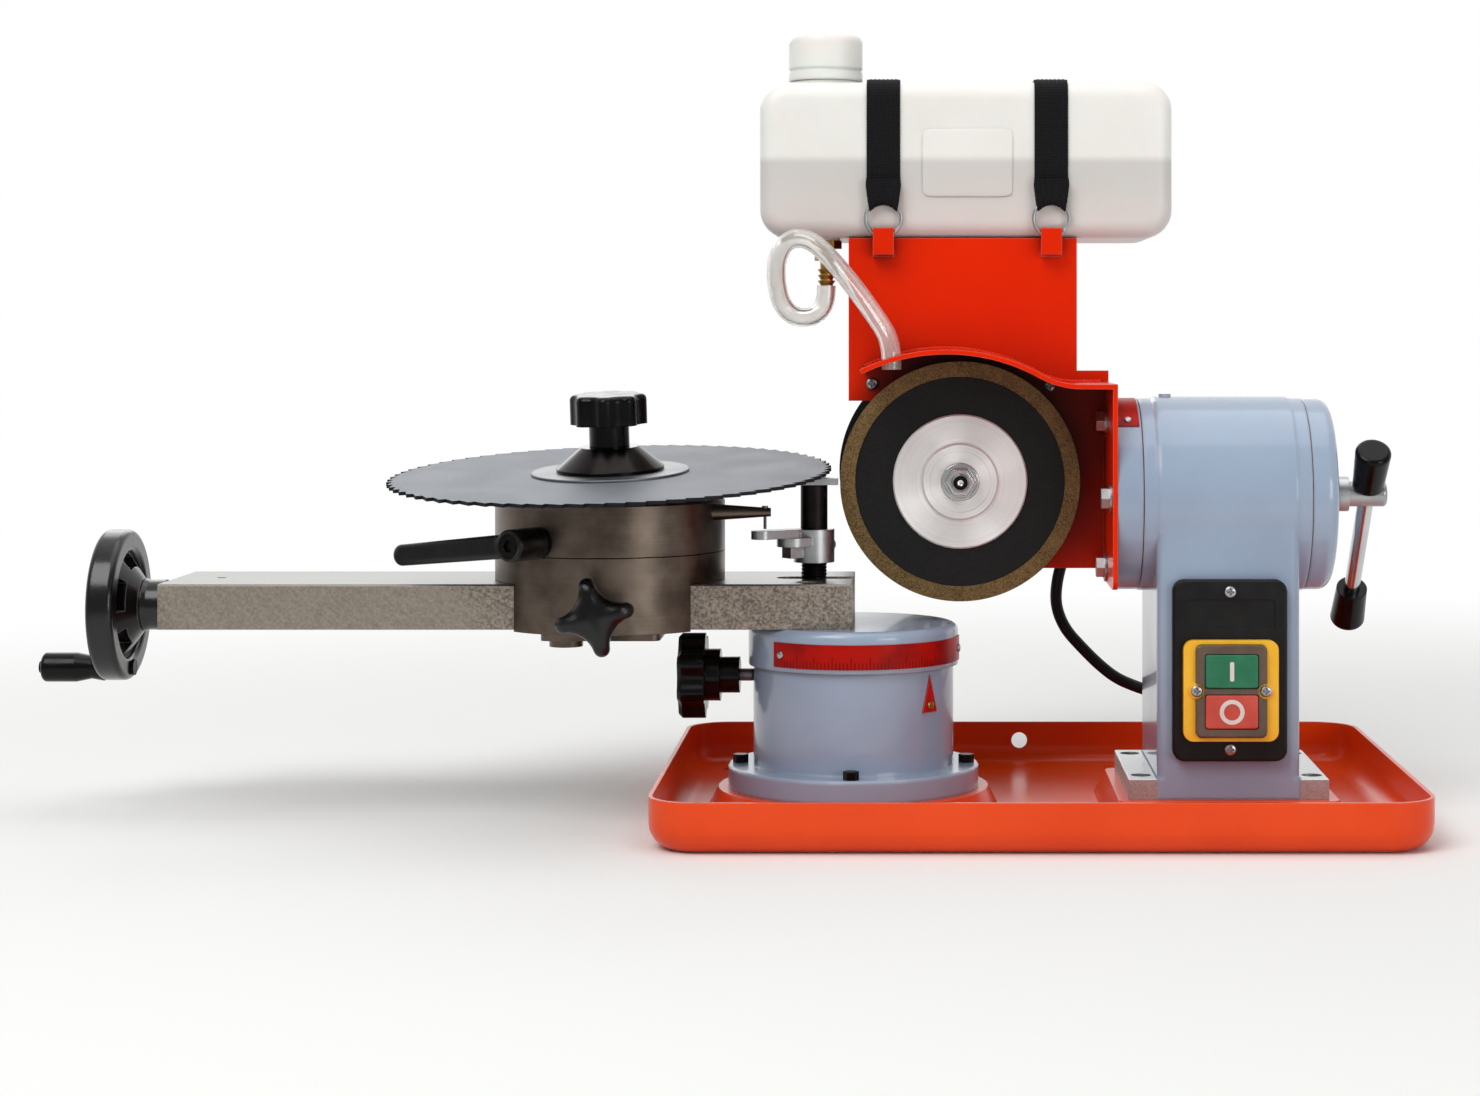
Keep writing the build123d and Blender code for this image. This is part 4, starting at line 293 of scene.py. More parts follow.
# %% Turned, ground and rolled steel
def turned_steel(name, colour, light, roughness, pitch_mm, corner_shade=0.0, edge_mm=0.5):
    """Steel with level lathe lines about pitch_mm high, drawn coarse enough to show; painted corner
    shade.
    """
    material, add, shader, place, rounded = finish(name, edge_mm, Metallic=1.0)
    squeeze = add("Mapping", Vector=place, Scale=(1 / 0.08, 1 / 0.08, 1000 / pitch_mm))
    lines = noise(add, squeeze, 1.0, 3.0)
    stain = noise(add, place, 0.022, 5.0)
    mixed = add("Math MULTIPLY_ADD", (lines, 0.16, stain))
    tone = graded(add, mixed, (0.34, 0.84), colour, light)
    # Painted shade: recesses, such as the gap round a nut, darken to a dark brown.
    if corner_shade:
        corner = add("AmbientOcclusion", Distance=0.005, samples=6).outputs["AO"]
        tone = graded(add, corner, (0.7, 0.15), tone, PAINTED_SHADE, corner_shade)
    gloss = add("MapRange", (stain, *NOISE_SPAN, roughness, roughness + 0.1), **SMOOTH)
    bump = add("Bump", Height=lines, Distance=4e-6, Normal=rounded)
    feed(shader, Base_Color=tone, Roughness=gloss, Normal=bump)
    return material


SPECKLED_X = (-0.34, -0.16)


def rolled_steel(name, skin, skin_light, ground):
    """A rolled bar with a ground top: speckles and streaks, strong in patches and near its inner end."""
    material, add, shader, place, rounded = finish(name, 0.4, Metallic=0.85)
    spots = noise(add, place, 0.0012, 4.0)
    slant = add(
        "Mapping", Vector=place, Rotation=(0.0, 0.7, 0.0), Scale=(0.009, 0.009, 0.0016),
        vector_type="TEXTURE",
    )
    streaks = noise(add, slant, 1.0, 4.0)
    patch = noise(add, place, 0.09, 2.0)
    along = add("SeparateXYZ", (place,))
    inner_end = add("MapRange", (along.outputs["X"], *SPECKLED_X, -0.1, 0.3))
    spread = add("Math ADD", (patch, inner_end))
    coarse = add("MapRange", (spread, 0.38, 0.62, 0.35, 1.0), **SMOOTH)
    skinned = add("Math MULTIPLY_ADD", (streaks, 0.4, spots))
    mixed = add("Mix", {0: coarse, 2: 0.75, 3: skinned})
    side = graded(add, mixed, (0.46, 0.93), skin, skin_light)
    up = add("SeparateXYZ", (add("NewGeometry").outputs["Normal"],))
    top = add("MapRange", (up.outputs["Z"], 0.5, 0.8), **SMOOTH)
    tone = two_tone(add, top, side, ground)
    rough = add("MapRange", (top, 0.0, 1.0, 0.48, 0.27))
    long = add("Mapping", Vector=place, Scale=(1 / 0.05, 1 / 0.0012, 1 / 0.0012))
    lines = noise(add, long, 1.0, 4.0)
    pits = add("Bump", Height=mixed, Distance=5e-5, Normal=rounded)
    bump = add("Bump", Height=lines, Distance=1.2e-5, Normal=pits)
    feed(shader, Base_Color=tone, Roughness=rough, Normal=bump)
    return material


blackened = turned_steel("blackened_turned_steel", "#574C43", "#7C7065", 0.3, 0.5)
black_oxide = turned_steel("black_oxide_steel", "#1B1918", "#2B2827", 0.36, 1.2)
black_polished = turned_steel("polished_black_steel", "#1E1B1B", "#2C2828", 0.15, 0.8)
# Zinc, chrome and the wheel nut take painted shade in their recesses.
zinc = turned_steel("zinc_plated_steel", "#A7A9AB", "#C4C6C7", 0.3, 1.4, 0.6)
chrome = turned_steel("chromed_steel", "#C6C9CC", "#D6D8DA", 0.12, 4.0, 0.85)
bright_nut = turned_steel("bright_zinc_nut", "#D4D5D6", "#F2F2F2", 0.16, 4.0, 0.9, 1.6)
brass = turned_steel("turned_brass", "#9C7432", "#C09A55", 0.3, 0.9)
bar_steel = rolled_steel("hot_rolled_bar_with_ground_top", "#70685F", "#B4A99C", "#7C7A75")
foot_steel = rolled_steel("ground_steel_foot", "#A9ABAC", "#C3C5C5", "#C9CBCC")
print("steels: 9")

# %% [markdown]
# ## Metal with rings
# The saw blade, its clamping washer and the aluminium face of the grinding wheel are finished on a
# spindle, so their marks are rings round their own axis. The distance from that axis drives a
# one-dimensional noise: equal distance, equal shade. The blade is ground dull, so it is half matt.

# %% Spun metal
def spun_metal(
    name, colour, light, roughness, ring_mm, axis, centre, metallic=1.0, brushed=0.0, sides=None
):
    """Rings ring_mm apart round an axis through centre (mm); sides is the colour of the cut edges."""
    material, add, shader, place, rounded = finish(
        name, 0.3, Metallic=metallic, Anisotropic=brushed, Specular_IOR_Level=0.2
    )
    flat = {"Y": (1.0, 0.0, 1.0), "Z": (1.0, 1.0, 0.0)}[axis]
    middle = tuple(value * MM for value in centre)
    away = add("VectorMath SUBTRACT", (place, middle))
    level = add("VectorMath MULTIPLY", (away, flat))
    radius = add("VectorMath LENGTH", (level,))
    rings = add("TexNoise", W=radius, Scale=1000 / ring_mm, Detail=3.0, noise_dimensions="1D")
    haze = noise(add, place, 0.03, 5.0)
    mixed = add("Math MULTIPLY_ADD", (rings, 0.6, haze))
    tone = graded(add, mixed, (0.5, 1.1), colour, light)
    if sides:
        facing = add("SeparateXYZ", (add("NewGeometry").outputs["Normal"],))
        flatness = add("Math ABSOLUTE", (facing.outputs[axis],))
        cut = add("MapRange", (flatness, 0.4, 0.8))
        tone = two_tone(add, cut, sides, tone)
    gloss = add("MapRange", (haze, *NOISE_SPAN, roughness, roughness + 0.1), **SMOOTH)
    bump = add("Bump", Height=rings, Distance=8e-6, Normal=rounded)
    if brushed:
        feed(shader, Tangent=add("Tangent", direction_type="RADIAL", axis=axis))
    feed(shader, Base_Color=tone, Roughness=gloss, Normal=bump)
    return material


blade_steel = spun_metal(
    "ground_saw_steel", "#6C7077", "#787C82", 0.5, 1.2, "Z", middle_mm("saw_blade"), 0.2, sides="#1B1C1E"
)
washer_steel = spun_metal(
    "turned_washer_steel", "#63666A", "#787B7E", 0.36, 0.8, "Z", middle_mm("clamp_washer"), 0.8
)
hub_aluminium = spun_metal(
    "turned_aluminium", "#EAE8E6", "#FAF9F8", 0.28, 1.4, "Y", middle_mm("wheel_hub"), 0.5, 0.85
)
print("spun metals: 3")

# %% [markdown]
# ## Grit, resin and cast aluminium
# The grinding wheel is a dark resin disc with a brown ring of bonded diamond. The ring is a field
# of tiny grains: Voronoi cells give each grain its own shade and its own facet. The motor is cast
# aluminium with the fine bloom of a sand mould.

# %% Grains
def grains(name, dark, light, roughness, grain_mm, relief_um, metallic=0.0):
    """A surface of grains grain_mm across, each with a shade of its own between dark and light."""
    material, add, shader, place, rounded = finish(
        name, 0.3, Metallic=metallic, Roughness=roughness, Specular_IOR_Level=0.25
    )
    cells = add("TexVoronoi", Vector=place, Scale=1000 / grain_mm)
    bloom = noise(add, place, 0.012, 6.0)
    grey = add("SeparateColor", (cells.outputs["Color"],))
    mixed = add("Math ADD", (grey, bloom))
    tone = graded(add, mixed, (0.4, 1.5), dark, light)
    bump = add("Bump", Height=cells.outputs["Distance"], Distance=relief_um * 1e-6, Normal=rounded)
    feed(shader, Base_Color=tone, Normal=bump)
    return material


diamond = grains("bonded_diamond_grit", "#47371D", "#7A6138", 0.6, 0.5, 70)
resin = grains("pressed_black_resin", "#0B0A0A", "#151313", 0.45, 0.8, 20)
cast_aluminium = grains("cast_aluminium", "#9B9EA0", "#BEC0C1", 0.42, 0.9, 50, 1.0)
pressed_black = grains("black_paint_on_pressed_steel", "#0E0E0F", "#181819", 0.4, 0.9, 30)
print("grained finishes: 4")

# %% [markdown]
# ## Plastics
# Knobs and grips are moulded phenolic, black and glossy. The switch is moulded ABS: its plate has
# the fine matt texture that is etched into the mould, its frame and buttons are smoother, and a
# brown see-through cover rims the buttons. A noise at the texture's own size makes the relief.

# %% Moulded plastic
def moulded(name, colour, light, roughness, texture_mm, relief_um, edge_mm=0.6, shine=0.4, **sockets):
    """Plastic with a mould texture texture_mm wide and handling marks that change its gloss."""
    material, add, shader, place, rounded = finish(
        name, edge_mm, IOR=1.5, Specular_IOR_Level=shine, **sockets
    )
    marks = noise(add, place, 0.011, 7.0)
    tone = graded(add, marks, (0.3, 0.72), colour, light)
    gloss = add("MapRange", (marks, *NOISE_SPAN, roughness, roughness + 0.12), **SMOOTH)
    etched = noise(add, place, texture_mm * MM, 2.0)
    bump = add("Bump", Height=etched, Distance=relief_um * 1e-6, Normal=rounded)
    feed(shader, Base_Color=tone, Roughness=gloss, Normal=bump)
    return material


phenolic = moulded("black_phenolic", "#030303", "#080808", 0.15, 2.0, 8, 1.0, 0.2)
round_phenolic = moulded("rounded_black_phenolic", "#030303", "#080808", 0.13, 3.0, 5, 3.5, 0.42)
matt_black = moulded("etched_black_abs", "#0C0B0B", "#151414", 0.4, 0.6, 25, 0.6, 0.25)
yellow_abs = moulded("yellow_abs", "#F7B81F", "#FBC22E", 0.28, 1.2, 8)
green_abs = moulded("green_abs", "#1F6E4C", "#2B7D5A", 0.3, 1.0, 8)
red_abs = moulded("red_abs", "#C44639", "#CE5648", 0.3, 1.0, 8)
white_abs = moulded("white_print", "#D9D4CD", "#E4E0DA", 0.4, 1.0, 4, 0.1)
brown_cover = moulded(
    "brown_clear_cover", "#6B5646", "#7C6858", 0.15, 2.0, 6, 0.5, 0.4, Transmission_Weight=0.35
)
lead_rubber = moulded("black_rubber_sheath", "#0B0B0B", "#151515", 0.42, 0.9, 20, 0.2, 0.25)
print("plastics: 9")

# %% [markdown]
# ## The tank's polyethylene
# The tank is blow-moulded from white polyethylene. Light goes a little way into it, so it looks
# milky, and the coolant inside shows as a greyer lower half. The shade follows the height: the
# coolant's level is a soft step at mid height.

# %% Milky polyethylene
COOLANT_DEPTH, LEVEL_BLUR = 42.5 * MM, 2.5 * MM
tank_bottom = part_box("coolant_tank")[0].z
coolant_z = tank_bottom + COOLANT_DEPTH


def polyethylene(name, dry, wet, low, scatter, edge_mm):
    """Milky plastic: dry above the coolant's level, wet just below it, low near the bottom.

    scatter is the share of light that travels inside; a pad thinner than that travel has none.
    """
    inside = {"Subsurface_Weight": scatter, "Subsurface_Scale": 0.006}
    material, add, shader, place, rounded = finish(
        name, edge_mm, IOR=1.5, Roughness=0.34, Specular_IOR_Level=0.35, **inside
    )
    height = add("SeparateXYZ", (place,)).outputs["Z"]
    filled = graded(add, height, (tank_bottom, coolant_z), low, wet)
    tone = graded(add, height, (coolant_z - LEVEL_BLUR, coolant_z + LEVEL_BLUR), filled, dry)
    cloud = noise(add, place, 0.05, 4.0)
    clouded = graded(add, cloud, NOISE_SPAN, tone, "#C9C6BF", 0.12)
    wax = noise(add, place, 0.006, 2.0)
    ripple = add("Bump", Height=wax, Distance=6e-5, Normal=rounded)
    feed(shader, Base_Color=clouded, Normal=ripple)
    return material


MILKY = ("#EDECE7", "#CFCDC9", "#DDD5D1")
white_can = polyethylene("blow_moulded_polyethylene", *MILKY, 0.25, 2.4)
white_panel = polyethylene("polyethylene_panel", *MILKY, 0.0, 0.0)
print("coolant level at", round(coolant_z / MM), "mm")

# %% [markdown]
# ## The printed scales
# Two red metal strips carry angle marks: one round the turntable, one round the head's pivot. The
# marks are lines of constant angle, so the angle round the strip's axis is taken modulo the
# spacing of the marks, and every fifth mark is longer. They are fine, dark lines on red lacquer.

# %% Scales
MARK_STEP_DEG = 2.0


def angle_scale(name, lacquer, stain, print_colour, axis, centre, width_mm):
    """Red lacquer with a dark line every MARK_STEP_DEG round the axis; every fifth line is long."""
    material, add, shader, place, rounded = finish(
        name, 0.2, Roughness=0.28, Specular_IOR_Level=0.1, Coat_Weight=0.02, Coat_Roughness=0.08
    )
    middle = tuple(value * MM for value in centre)
    away = add("VectorMath SUBTRACT", (place, middle))
    part = add("SeparateXYZ", (away,))
    side, front, along = {"Z": ("X", "Y", "Z"), "X": ("Y", "Z", "X")}[axis]
    angle = add("Math ARCTAN2", (part.outputs[front], part.outputs[side]))
    share = add("MapRange", (part.outputs[along], 0.0, width_mm * MM))
    drawn = None
    for spacing, reach in ((1, 0.3), (5, 0.5)):
        pitch = np.radians(MARK_STEP_DEG * spacing)
        turn = add("Math DIVIDE", (angle, pitch))
        saw = add("Math PINGPONG", (turn, 0.5))
        line = add("Math LESS_THAN", (saw, 0.16 / spacing))
        short = add("Math LESS_THAN", (share, reach))
        mark = add("Math MULTIPLY", (line, short))
        if drawn is not None:
            mark = add("Math MAXIMUM", (drawn, mark))
        drawn = mark
    blot = noise(add, place, 0.016, 3.0)
    red = graded(add, blot, (0.35, 0.68), lacquer, stain)
    tone = two_tone(add, drawn, red, print_colour)
    feed(shader, Base_Color=tone, Normal=rounded)
    return material


LACQUER = ("#B00F03", "#8E0A03", "#6E0802")
TILT_AXIS = (-12.0, 165.0)
turn_low, turn_high = box_mm("turntable_scale")
turn_centre = (*middle_mm("turntable_top")[:2], turn_low.z)
turn_width = turn_high.z - turn_low.z
turn_scale = angle_scale("red_lacquer_turntable_scale", *LACQUER, "Z", turn_centre, turn_width)
tilt_low, tilt_high = box_mm("tilt_scale")
tilt_width = tilt_high.x - tilt_low.x
tilt_scale = angle_scale("red_lacquer_tilt_scale", *LACQUER, "X", (tilt_low.x, *TILT_AXIS), tilt_width)
red_lacquer = enamel("red_lacquer_pointer", "#C01205", "#A80E04", 0.3, 15)
print("scales: 2")

# %% [markdown]
# ## Finishes onto the solids
# Each solid takes the finish of the real piece. The list is read from the top of the machine to
# its foot, so that a missing piece is easy to see.

# %% Assign finishes
FINISHES = {
    white_can: "coolant_tank tank_cap",
    red_hood: "hood",
    red_tray: "base_tray",
    blue_casting: "column turntable_base turntable_top tilt_flange end_cap",
    black_casting: "handwheel",
    black_polished: "clamp_cone",
    phenolic: "clamp_knob lock_knob crank_grip tommy_grips",
    round_phenolic: "star_knob clamp_lever",
    blackened: "saddle seat blade_hub index_arm saddle_keeper",
    black_oxide: "stop_post lever_screw bar_bolts screw_bearing base_bolts crank_pin",
    zinc: "hood_bolts strap_rings motor_shaft stop_finger stop_collar lead_screw clamp_screw",
    chrome: "tommy_bar",
    bright_nut: "wheel_nut",
    brass: "outlet_fitting lead_nut",
    bar_steel: "guide_bar",
    foot_steel: "column_feet",
    blade_steel: "saw_blade",
    washer_steel: "clamp_washer",
    hub_aluminium: "wheel_hub",
    diamond: "wheel_rim",
    resin: "wheel_core",
    cast_aluminium: "motor_housing",
    pressed_black: "motor_fan_cover",
    matt_black: "switch_plate lead_gland",
    yellow_abs: "switch_frame",
    brown_cover: "switch_bezel",
    green_abs: "start_button",
    red_abs: "stop_button",
    turn_scale: "turntable_scale",
    tilt_scale: "tilt_scale",
    red_lacquer: "angle_pointer",
}
for material, names in FINISHES.items():
    for slot in (slot for name in names.split() for slot in nodes[name].material_slots):
        slot.material = material
print("solids without a finish:", sorted(set(nodes) - set(" ".join(FINISHES.values()).split())))

# %% [markdown]
# ## The coolant hose and the motor lead
# A hose takes a smooth line between the points that hold it, so its route is one spline through a
# few given points. The spline is read back as points, and a ring is carried along them:
# at each point two directions square to the line carry the ring. The hose leaves the brass barb,
# turns up in a bow and runs down into the hood. The lead hangs from the motor's box to the column.

# %% A spline's points and a ring along them
def spline_points(name, route_mm):
    """Points along a quadratic NURBS spline whose control points are the route's."""
    curve = bpy.data.curves.new(name, "CURVE")
    curve.dimensions = "3D"
    spline = curve.splines.new("NURBS")
    spline.points.add(len(route_mm) - 1)
    for point, place in zip(spline.points, route_mm):
        point.co = (*(value * MM for value in place), 1.0)
    spline.order_u = 3
    spline.use_endpoint_u = True
    spline.resolution_u = 10
    holder = bpy.data.objects.new(name, curve)
    mesh = bpy.data.meshes.new_from_object(holder)
    points = np.empty(len(mesh.vertices) * 3)
    mesh.vertices.foreach_get("co", points)
    bpy.data.meshes.remove(mesh)
    bpy.data.objects.remove(holder)
    bpy.data.curves.remove(curve)
    return points.reshape(-1, 3)


def unit(rows):
    """Each row at length 1."""
    return rows / np.linalg.norm(rows, axis=1, keepdims=True)


def square_directions(path, aside):
    """Two unit directions square to the path: the first is also square to the vector aside."""
    along = unit(np.gradient(path, axis=0))
    first = unit(np.cross(along, np.asarray(aside, float)))
    return first, np.cross(along, first)


def full_turn(count):
    """Angles of a full turn, in count equal steps."""
    return np.linspace(0, 2 * np.pi, count, endpoint=False)


def tube_grid(path, aside, radius, sides=32):
    """path + radius * (cos(turn) * first + sin(turn) * second), for each turn round the path."""
    first, second = square_directions(path, aside)
    turn = full_turn(sides)[None, :, None]
    return path[:, None] + radius * (np.cos(turn) * first[:, None] + np.sin(turn) * second[:, None])


# %% Hose
HOSE_ROUTE = [
    (-108, 20, 274), (-108, 20, 264), (-115, 18.5, 257), (-125, 16.5, 257), (-132, 15, 264),
    (-134.5, 9, 277), (-133.5, 0, 289), (-127, -7, 298.5), (-115, -11, 298), (-102, -15, 284.5),
    (-90, -20.5, 269.5), (-80, -27.5, 255.5), (-73, -35, 244), (-73, -35, 230),
]
HOSE_R = 5.0 * MM
HOSE_WALL = 1.6 * MM


def clear_vinyl(name, colour):
    """Soft clear PVC: nearly colourless, wet-looking, with a milky bloom where it is handled."""
    material, add, shader, place, _ = finish(
        name, 0.2, IOR=1.52, Roughness=0.06, Transmission_Weight=0.86
    )
    bloom = noise(add, place, 0.01, 4.0)
    tone = two_tone(add, bloom, colour, "#FFFFFF")
    ripple = noise(add, place, 0.004, 2.0)
    bump = add("Bump", Height=ripple, Distance=8e-5)
    feed(shader, Base_Color=tone, Normal=bump)
    return material


vinyl = clear_vinyl("clear_vinyl_hose", "#E9E7E0")
hose_path = spline_points("hose_line", HOSE_ROUTE)
outside = tube_grid(hose_path, (0, 1, 0), HOSE_R)
inside = tube_grid(hose_path, (0, 1, 0), HOSE_R - HOSE_WALL)
hose = piece(
    "clear_hose", np.concatenate([outside, inside[::-1]]), "head", vinyl, "clear_vinyl", wrap_rows=True
)
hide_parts("coolant_hose")

# %% Motor lead
LEAD_ROUTE = [
    (20.78, 66.5, 140.5), (20.78, 66.5, 126.5), (17, 68, 113), (16.3, 70, 99), (21.5, 72, 86),
    (31, 73.4, 75.5), (40.5, 73.6, 66), (50, 73.6, 58.5), (60.4, 74.6, 54), (69.65, 69.3, 51.5),
    (75, 60, 50.5), (75, 49, 50.5),
]
LEAD_R = 3.2 * MM
lead_path = spline_points("lead_line", LEAD_ROUTE)
lead_grid = tube_grid(lead_path, (1, 0, 1), LEAD_R, 20)
lead = piece("motor_flex", lead_grid, None, lead_rubber, "black_rubber", caps=True)
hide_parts("motor_lead")
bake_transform(lead)

# %% [markdown]
# ## The tank's elastic bands
# Two black elastic bands hold the tank down. Each is woven with cords that run its length, so it
# has ribs. Its path goes through a steel ring in front, up the tank's face, over the top and down
# the back: straight runs and quarter circles. A flat ribbed section is carried along that path and
# drawn together where it goes through the ring. A weave of fine cross threads is left to the bump.

# %% Elastic
def woven_elastic(name, dark, light, pick_mm):
    """Woven elastic: cross threads pick_mm apart along the band, read from its own map."""
    material, add, shader, place, _ = finish(
        name, 0.1, Roughness=0.8, Specular_IOR_Level=0.15, Sheen_Weight=0.06
    )
    across = add("SeparateXYZ", (add("TexCoord").outputs["UV"],))
    thread = add("Math DIVIDE", (across.outputs["Y"], pick_mm * MM))
    weave = add("Math PINGPONG", (thread, 0.5))
    fluff = noise(add, place, 0.0011, 3.0)
    share = add("Math ADD", (weave, fluff))
    tone = graded(add, share, (0.3, 1.0), dark, light)
    bump = add("Bump", Height=share, Distance=2.5e-4)
    feed(shader, Base_Color=tone, Normal=bump)
    return material


elastic = woven_elastic("woven_black_elastic", "#060506", "#151417", 1.4)

# %% Bands over the tank
BAND_WIDTH = 17.7
BAND_THICK = 1.5
BAND_RIBS = 8
BAND_STEP = 0.55
NECK_WIDTH = 14.0
TAPER = 8.5
HEM_LENGTH = 13.4
HEM_BULGE = 0.8
FOLD_WITHIN = 40
FRONT_SHARE = 0.4
TOOTH = 0.22
TOOTH_PITCH = 1.65
RING_INSIDE_R = 8.4
RING_WIRE = 2.2
BAND_GAP = 0.3
FRAME_RISE = 0.8
TANK_EDGE_R = 9.0
tank_front = box_mm("coolant_tank")[0].y
band_low, band_high = box_mm("tank_straps")
ring_low, ring_high = box_mm("strap_rings")


def corner_arc(y, z, radius, first_deg, last_deg, count=14):
    """Points on a circle round (y, z), in millimetres."""
    turn = np.radians(np.linspace(first_deg, last_deg, count))
    return np.stack([y + radius * np.cos(turn), z + radius * np.sin(turn)], -1)


def band_path():
    """(y, z) of the band's middle: hem, fold under the ring's wire, front, top and back."""
    front = tank_front + FRAME_RISE - BAND_GAP - BAND_THICK / 2
    back = band_high.y - BAND_THICK / 2
    top = band_high.z - BAND_THICK / 2
    fold = ring_high.z - RING_WIRE - BAND_THICK / 2
    hem = ring_low.y - BAND_GAP - BAND_THICK / 2
    half = (front - hem) / 2
    round_r = TANK_EDGE_R + BAND_GAP + BAND_THICK / 2
    runs = [
        np.array([[hem, fold + HEM_LENGTH], [hem, fold + HEM_LENGTH / 2]]),
        corner_arc(hem + half, fold + half, half, 180, 360, 20),
        np.linspace([front, fold + half + 3], [front, top - round_r - 2], 40),
        corner_arc(front + round_r, top - round_r, round_r, 180, 90),
        np.linspace([front + round_r + 3, top], [back - round_r - 3, top], 24),
        corner_arc(back - round_r, top - round_r, round_r, 90, 0),
        np.linspace([back, top - round_r - 3], [back, band_low.z], 36),
    ]
    return np.concatenate(runs)


def evenly(path, step):
    """The same path with points step apart, and the distance run to each of them."""
    run = np.concatenate([[0.0], np.cumsum(np.linalg.norm(np.diff(path, axis=0), axis=1))])
    even = np.linspace(0, run[-1], int(run[-1] / step))
    return np.stack([np.interp(even, run, path[:, i]) for i in (0, 1)], -1), even


def band(name, x):
    """A ribbed flat section carried along the path; its width follows the height over the fold.

    width = neck + (full - neck) * smooth(height / taper), with a wave for the woven edge. Near the
    fold every point drops by ring - sqrt(ring^2 - x^2), so that the fold hugs the round ring.
    """
    path, run = evenly(band_path(), BAND_STEP)
    along = unit(np.gradient(path, axis=0))
    out = np.stack([-along[:, 1], along[:, 0]], -1)
    height = path[:, 1] - path[:, 1][run < FOLD_WITHIN].min()
    first_leg = (run < FRONT_SHARE * run[-1]).astype(float)
    low = first_leg * (1 - np.clip(height / TAPER, 0, 1)) ** 2
    bulge = HEM_BULGE * first_leg * np.exp(-(((height - HEM_LENGTH + 3) / 3) ** 2))
    width = BAND_WIDTH - (BAND_WIDTH - NECK_WIDTH) * low + bulge
    width = width + TOOTH * np.cos(2 * np.pi * run / TOOTH_PITCH)
    share = np.linspace(-0.5, 0.5, 6 * BAND_RIBS + 1)
    ribs = BAND_THICK / 2 * (0.8 + 0.2 * np.cos(2 * np.pi * BAND_RIBS * (share + 0.5)))
    ribs = ribs * np.sqrt(np.clip(1 - (2 * share) ** 16, 0, 1))
    across = np.concatenate([share, share[::-1]])
    lift = np.concatenate([ribs, -ribs[::-1]])
    grid = np.empty((len(path), len(across), 3))
    aside = width[:, None] * across[None, :]
    grid[:, :, 0] = x + aside
    grid[:, :, 1:] = path[:, None, :] + lift[None, :, None] * out[:, None, :]
    sag = RING_INSIDE_R - np.sqrt(np.clip(RING_INSIDE_R**2 - aside**2, 4.0, None))
    grid[:, :, 2] -= sag * low[:, None]
    uv = np.stack(np.broadcast_arrays(across[None, :], run[:, None] * MM), -1)
    made = piece(name, grid * MM, "head", elastic, "black_webbing", caps=True, uv=uv)
    return made, run[-1] * MM


band_places = (band_low.x + BAND_WIDTH / 2, band_high.x - BAND_WIDTH / 2)
for name, x in zip(("elastic_band_left", "elastic_band_right"), band_places):
    made, length = band(name, x)
    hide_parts("tank_straps")
    print(name, "length", round(length, 3), "m")

# %% [markdown]
# ## Screw heads and marks
# A cross-head screw is a dome with a cross pressed into it. On a polar grid its height is a
# formula: the dome falls towards the rim, and the cross takes a share off wherever the smaller of
# |x| and |y| is narrow and the larger is short. The marks on the buttons are thin printed pads,
# and the tank's bare raised panel, about 44 by 32 mm, is a pad of the tank's own plastic.

# %% Screws
def soft_step(value, full, none):
    """1 below full, 0 above none, and a smooth fall between them."""
    share = np.clip((none - value) / (none - full), 0, 1)
    return share * share * (3 - 2 * share)


def cross_screw(
    name, place_mm, right, up, radius_mm, rise_mm, body, cut=0.62, finished=(zinc, "zinc_steel")
):
    """Height = dome(r) - cross(x, y), on rings r of a polar grid; the last row is the seat."""
    ring = np.linspace(0, 1, 30)[:, None]
    turn = full_turn(80)[None, :]
    x, y = ring * np.cos(turn), ring * np.sin(turn)
    narrow, reach = np.minimum(abs(x), abs(y)), np.maximum(abs(x), abs(y))
    cross = soft_step(narrow, 0.09, 0.17) * soft_step(reach, 0.46, 0.62)
    height = 0.4 + 0.6 * np.sqrt(np.clip(1 - ring**2.4, 0, 1)) - cut * cross
    x, y = np.vstack([x, x[-1:]]), np.vstack([y, y[-1:]])
    height = np.vstack([height, np.full_like(height[-1:], -0.15)])
    right, up = np.array(right, float), np.array(up, float)
    out = np.cross(right, up)
    grid = np.array(place_mm) + radius_mm * (x[..., None] * right + y[..., None] * up)
    grid = grid + rise_mm * height[..., None] * out
    return piece(name, grid * MM, body, *finished)


RIGHT, BACK, UP = (1, 0, 0), (0, 1, 0), (0, 0, 1)
SWITCH_HEAD, HOOD_HEAD = (RIGHT, UP, 2.9, 1.5, "base"), (RIGHT, UP, 3.2, 1.8, "head")
LID_HEAD = (BACK, UP, 2.6, 1.3, "head")
PLATE_SCREW_INSET, EAR_HALF_PITCH = 6.0, 17.3
LID_MIDDLE, LID_HALF_PITCH = np.array([66.5, 171.5]), np.array([19.0, 18.0])
plate_low, plate_high = box_mm("switch_plate")
switch_x, ear_z = middle_mm("switch_plate")[0], middle_mm("switch_frame")[2]
ear_y, lid_x = box_mm("switch_frame")[0].y, box_mm("motor_housing")[1].x
screws = {
    "switch_screw_top": ((switch_x, plate_low.y, plate_high.z - PLATE_SCREW_INSET), *SWITCH_HEAD),
    "switch_screw_low": ((switch_x, plate_low.y, plate_low.z + PLATE_SCREW_INSET), *SWITCH_HEAD),
    "ear_screw_left": ((switch_x - EAR_HALF_PITCH, ear_y, ear_z), *SWITCH_HEAD),
    "ear_screw_right": ((switch_x + EAR_HALF_PITCH, ear_y, ear_z), *SWITCH_HEAD),
    "hood_screw_left": ((-83.6, 8.0, 222.0), *HOOD_HEAD),
    "hood_screw_right": ((10.3, 8.0, 221.0), *HOOD_HEAD),
}
